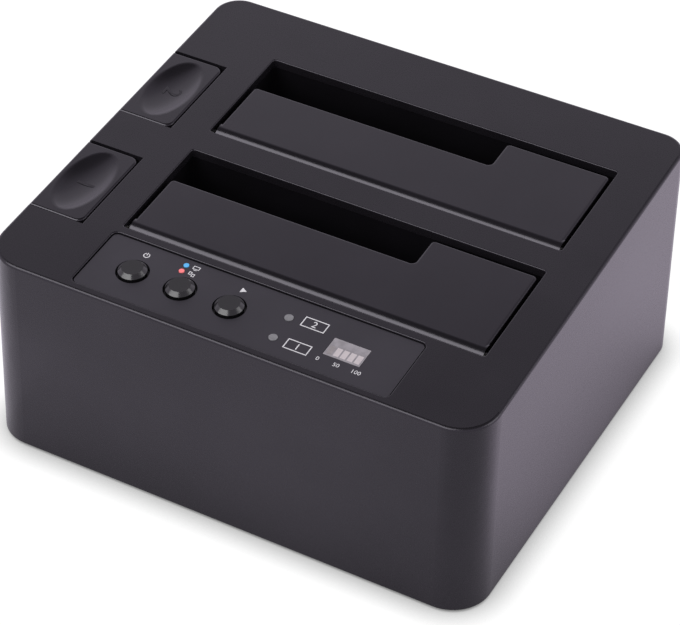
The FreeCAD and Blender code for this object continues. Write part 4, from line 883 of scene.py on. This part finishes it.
# How bright reflections see the floor. Each range goes from one place to another and
# from one share to another.
FRONT_FLOOR = (0.010, 0.075, 0.77, 0.54)
LEFT_FLOOR = (-0.080, -0.072, 0.22, 0.0)
LEFT_FLOOR_AHEAD = (-0.112, -0.092, 0.0, 1.0)
RIGHT_FLOOR = (0.070, 0.076, 0.0, 1.0)
RIGHT_FLOOR_REARWARD = (-0.070, -0.010, 0.0, 1.0)
MIRRORED_GAIN = 1 / 0.78  # brings the front floor's highest share to about white
SHADOW_SAMPLES = 8

# How bright reflections see the backdrop, by how steeply they look up.
LOW_SKY = (0.36, 0.62, 0.95, 0.58)
TOP_SKY = (0.75, 0.86, 1.0, 0.13)
ROOM_LIGHT = 0.55  # the backdrop's strength as a lamp

SENSOR_WIDTH = 36.0  # in millimetres, as the focal length
NEAREST_SEEN = 0.01
BLACK, WHITE = (0, 0, 0), (1, 1, 1)


class BuildStudio(bpy.types.Operator):
    """Set up the pale floor, the soft lights, the backdrop and the camera."""
    bl_idname = "duplicator.build_studio"
    bl_label = "Build the studio"

    def execute(self, context):
        scene = context.scene
        studio = scene.duplicator_studio
        self.lay_floor(scene, self.floor_finish(studio))
        for name, place, sides, setting in SOFTBOXES:
            self.hang_softbox(scene, name, Vector(place), sides, getattr(studio, setting))
        self.paint_backdrop(scene, studio)
        self.set_camera(scene, studio)
        scene.view_settings.view_transform = "Standard"
        return {"FINISHED"}

    @staticmethod
    def lay_floor(scene, material):
        shape = bmesh.new()
        bmesh.ops.create_grid(shape, x_segments=2, y_segments=2, size=FLOOR_HALF)
        data = bpy.data.meshes.new("studio_floor")
        shape.to_mesh(data)
        shape.free()
        floor = bpy.data.objects.new("studio_floor", data)
        scene.collection.objects.link(floor)
        data.materials.append(material)

    def floor_finish(self, studio):
        """White paper for the camera, and a floor of chosen brightness for reflections."""
        finish = Finish("studio_floor")
        tint = tuple(studio.floor)
        paper = finish.noise(PAPER_WAVES, detail=3.0)
        base = finish.patches(paper, (0.3, 0.7), scaled(tint, PAPER_SHADE), tint)
        matt = finish.node("BsdfDiffuse", None, {"Color": base})
        seen, mirrored = self.ray_shares(finish)
        white = self.shadowed(finish, studio.contact_reach, WHITE, studio.floor_white)

        across, along = finish.place_along("X"), finish.place_along("Y")
        left = finish.range(across, *LEFT_FLOOR) * finish.range(along, *LEFT_FLOOR_AHEAD)
        right = finish.range(across, *RIGHT_FLOOR) * finish.range(along, *RIGHT_FLOOR_REARWARD)
        level = finish.range(across, *FRONT_FLOOR) + left
        sheen = finish.blend(level, BLACK, tuple(studio.backdrop_tint))
        sheen = finish.blend(right, sheen, tuple(studio.side_tint))
        tinted = self.shadowed(finish, studio.mirrored_reach, sheen, MIRRORED_GAIN)

        whole = finish.node("MixShader", None,
                            {0: seen * studio.floor_lift, 1: matt, 2: white})
        return finish.surface(finish.node("MixShader", None,
                                          {0: mirrored * studio.floor_gloss, 1: whole, 2: tinted}))

    @staticmethod
    def shadowed(finish, reach, tint, strength):
        """A plain glow that fades to black near the foot of the case."""
        shade = finish.node("AmbientOcclusion", {"samples": SHADOW_SAMPLES},
                            {"Distance": reach}, "AO")
        return finish.node("Emission", None, {"Color": finish.blend(shade, BLACK, tint),
                                              "Strength": strength})

    @staticmethod
    def hang_softbox(scene, name, place, sides, strength):
        data = bpy.data.lights.new(name, "AREA")
        data.shape = "RECTANGLE"
        data.size, data.size_y = sides
        data.energy = strength
        lamp = bpy.data.objects.new(name, data)
        scene.collection.objects.link(lamp)
        lamp.location = place
        lamp.rotation_euler = (Vector(SOFTBOX_AIM) - place).to_track_quat("-Z", "Y").to_euler()

    def paint_backdrop(self, scene, studio):
        """White for the camera, dim for diffuse light, graded for reflections."""
        scene.world = bpy.data.worlds.new("studio")
        sky = Finish("studio", scene.world)
        seen, mirrored = self.ray_shares(sky)
        heading = sky.node("SeparateXYZ", None,
                           {"Vector": sky.node("TexCoord", output="Generated")}, "Z")
        level = sky.range(heading, *LOW_SKY) * sky.range(heading, *TOP_SKY)
        dim = self.background(sky, WHITE, ROOM_LIGHT)
        bright = self.background(sky, WHITE, 1.0)
        graded = self.background(sky, tuple(studio.backdrop_tint), level)
        whole = sky.node("MixShader", None, {0: seen, 1: dim, 2: bright})
        sky.surface(sky.node("MixShader", None, {0: mirrored, 1: whole, 2: graded}), "World")

    @staticmethod
    def background(sky, tint, strength):
        return sky.node("Background", None, {"Color": sky.opaque(tint), "Strength": strength})

    @staticmethod
    def ray_shares(finish):
        """Whether the camera sees a point straight, and whether a mirror or glass shows it."""
        path = finish.node("LightPath", output="Is Camera Ray")
        outputs = path.socket.node.outputs
        mirrored = (Signal(finish, outputs["Is Glossy Ray"])
                    + Signal(finish, outputs["Is Transmission Ray"]))
        return path, finish.node("Math", {"operation": "MINIMUM"}, {0: mirrored, 1: 1.0})

    @staticmethod
    def set_camera(scene, studio):
        """The turn's columns are the camera's right, up and backward directions."""
        lens = bpy.data.cameras.new("studio_camera")
        lens.sensor_width = SENSOR_WIDTH
        lens.lens = studio.focal_length
        lens.clip_start = NEAREST_SEEN
        camera = bpy.data.objects.new("studio_camera", lens)
        scene.collection.objects.link(camera)
        spin = Vector(studio.camera_turn)
        right, down, forward = Matrix.Rotation(spin.length, 3, spin)
        turn = Matrix((right, -down, -forward)).transposed().to_4x4()
        camera.matrix_world = Matrix.Translation(Vector(studio.camera_place)) @ turn
        scene.camera = camera


class DuplicatorPanel(bpy.types.Panel):
    """Sizes, colours and the steps that dress the duplicator."""
    bl_idname = "VIEW3D_PT_duplicator"
    bl_label = "Duplicator"
    bl_space_type = "VIEW_3D"
    bl_region_type = "UI"
    bl_category = "Duplicator"

    def draw(self, context):
        layout = self.layout
        for name in GROUPS:
            group = getattr(context.scene, name)
            box = layout.box()
            for key in group.bl_rna.properties.keys():
                if key not in {"rna_type", "name"}:
                    box.prop(group, key)
        for step in STEPS:
            layout.operator(step.bl_idname)


STEPS = (DressCase, DressPanel, DressMetal, DressBoards, MountSprings, MarkEjectButtons,
         MarkPanel, BuildStudio)
GROUPS = {"duplicator_finish": FinishSettings, "duplicator_marks": MarkSettings,
          "duplicator_studio": StudioSettings}


def register():
    for kind in (*GROUPS.values(), *STEPS, DuplicatorPanel):
        bpy.utils.register_class(kind)
    for name, group in GROUPS.items():
        setattr(bpy.types.Scene, name, PointerProperty(type=group))


def unregister():
    for name in GROUPS:
        delattr(bpy.types.Scene, name)
    for kind in (DuplicatorPanel, *reversed(STEPS), *reversed(list(GROUPS.values()))):
        bpy.utils.unregister_class(kind)


def main():
    register()
    for step in STEPS:
        group, name = step.bl_idname.split(".")
        getattr(getattr(bpy.ops, group), name)()


if __name__ == "__main__":
    main()
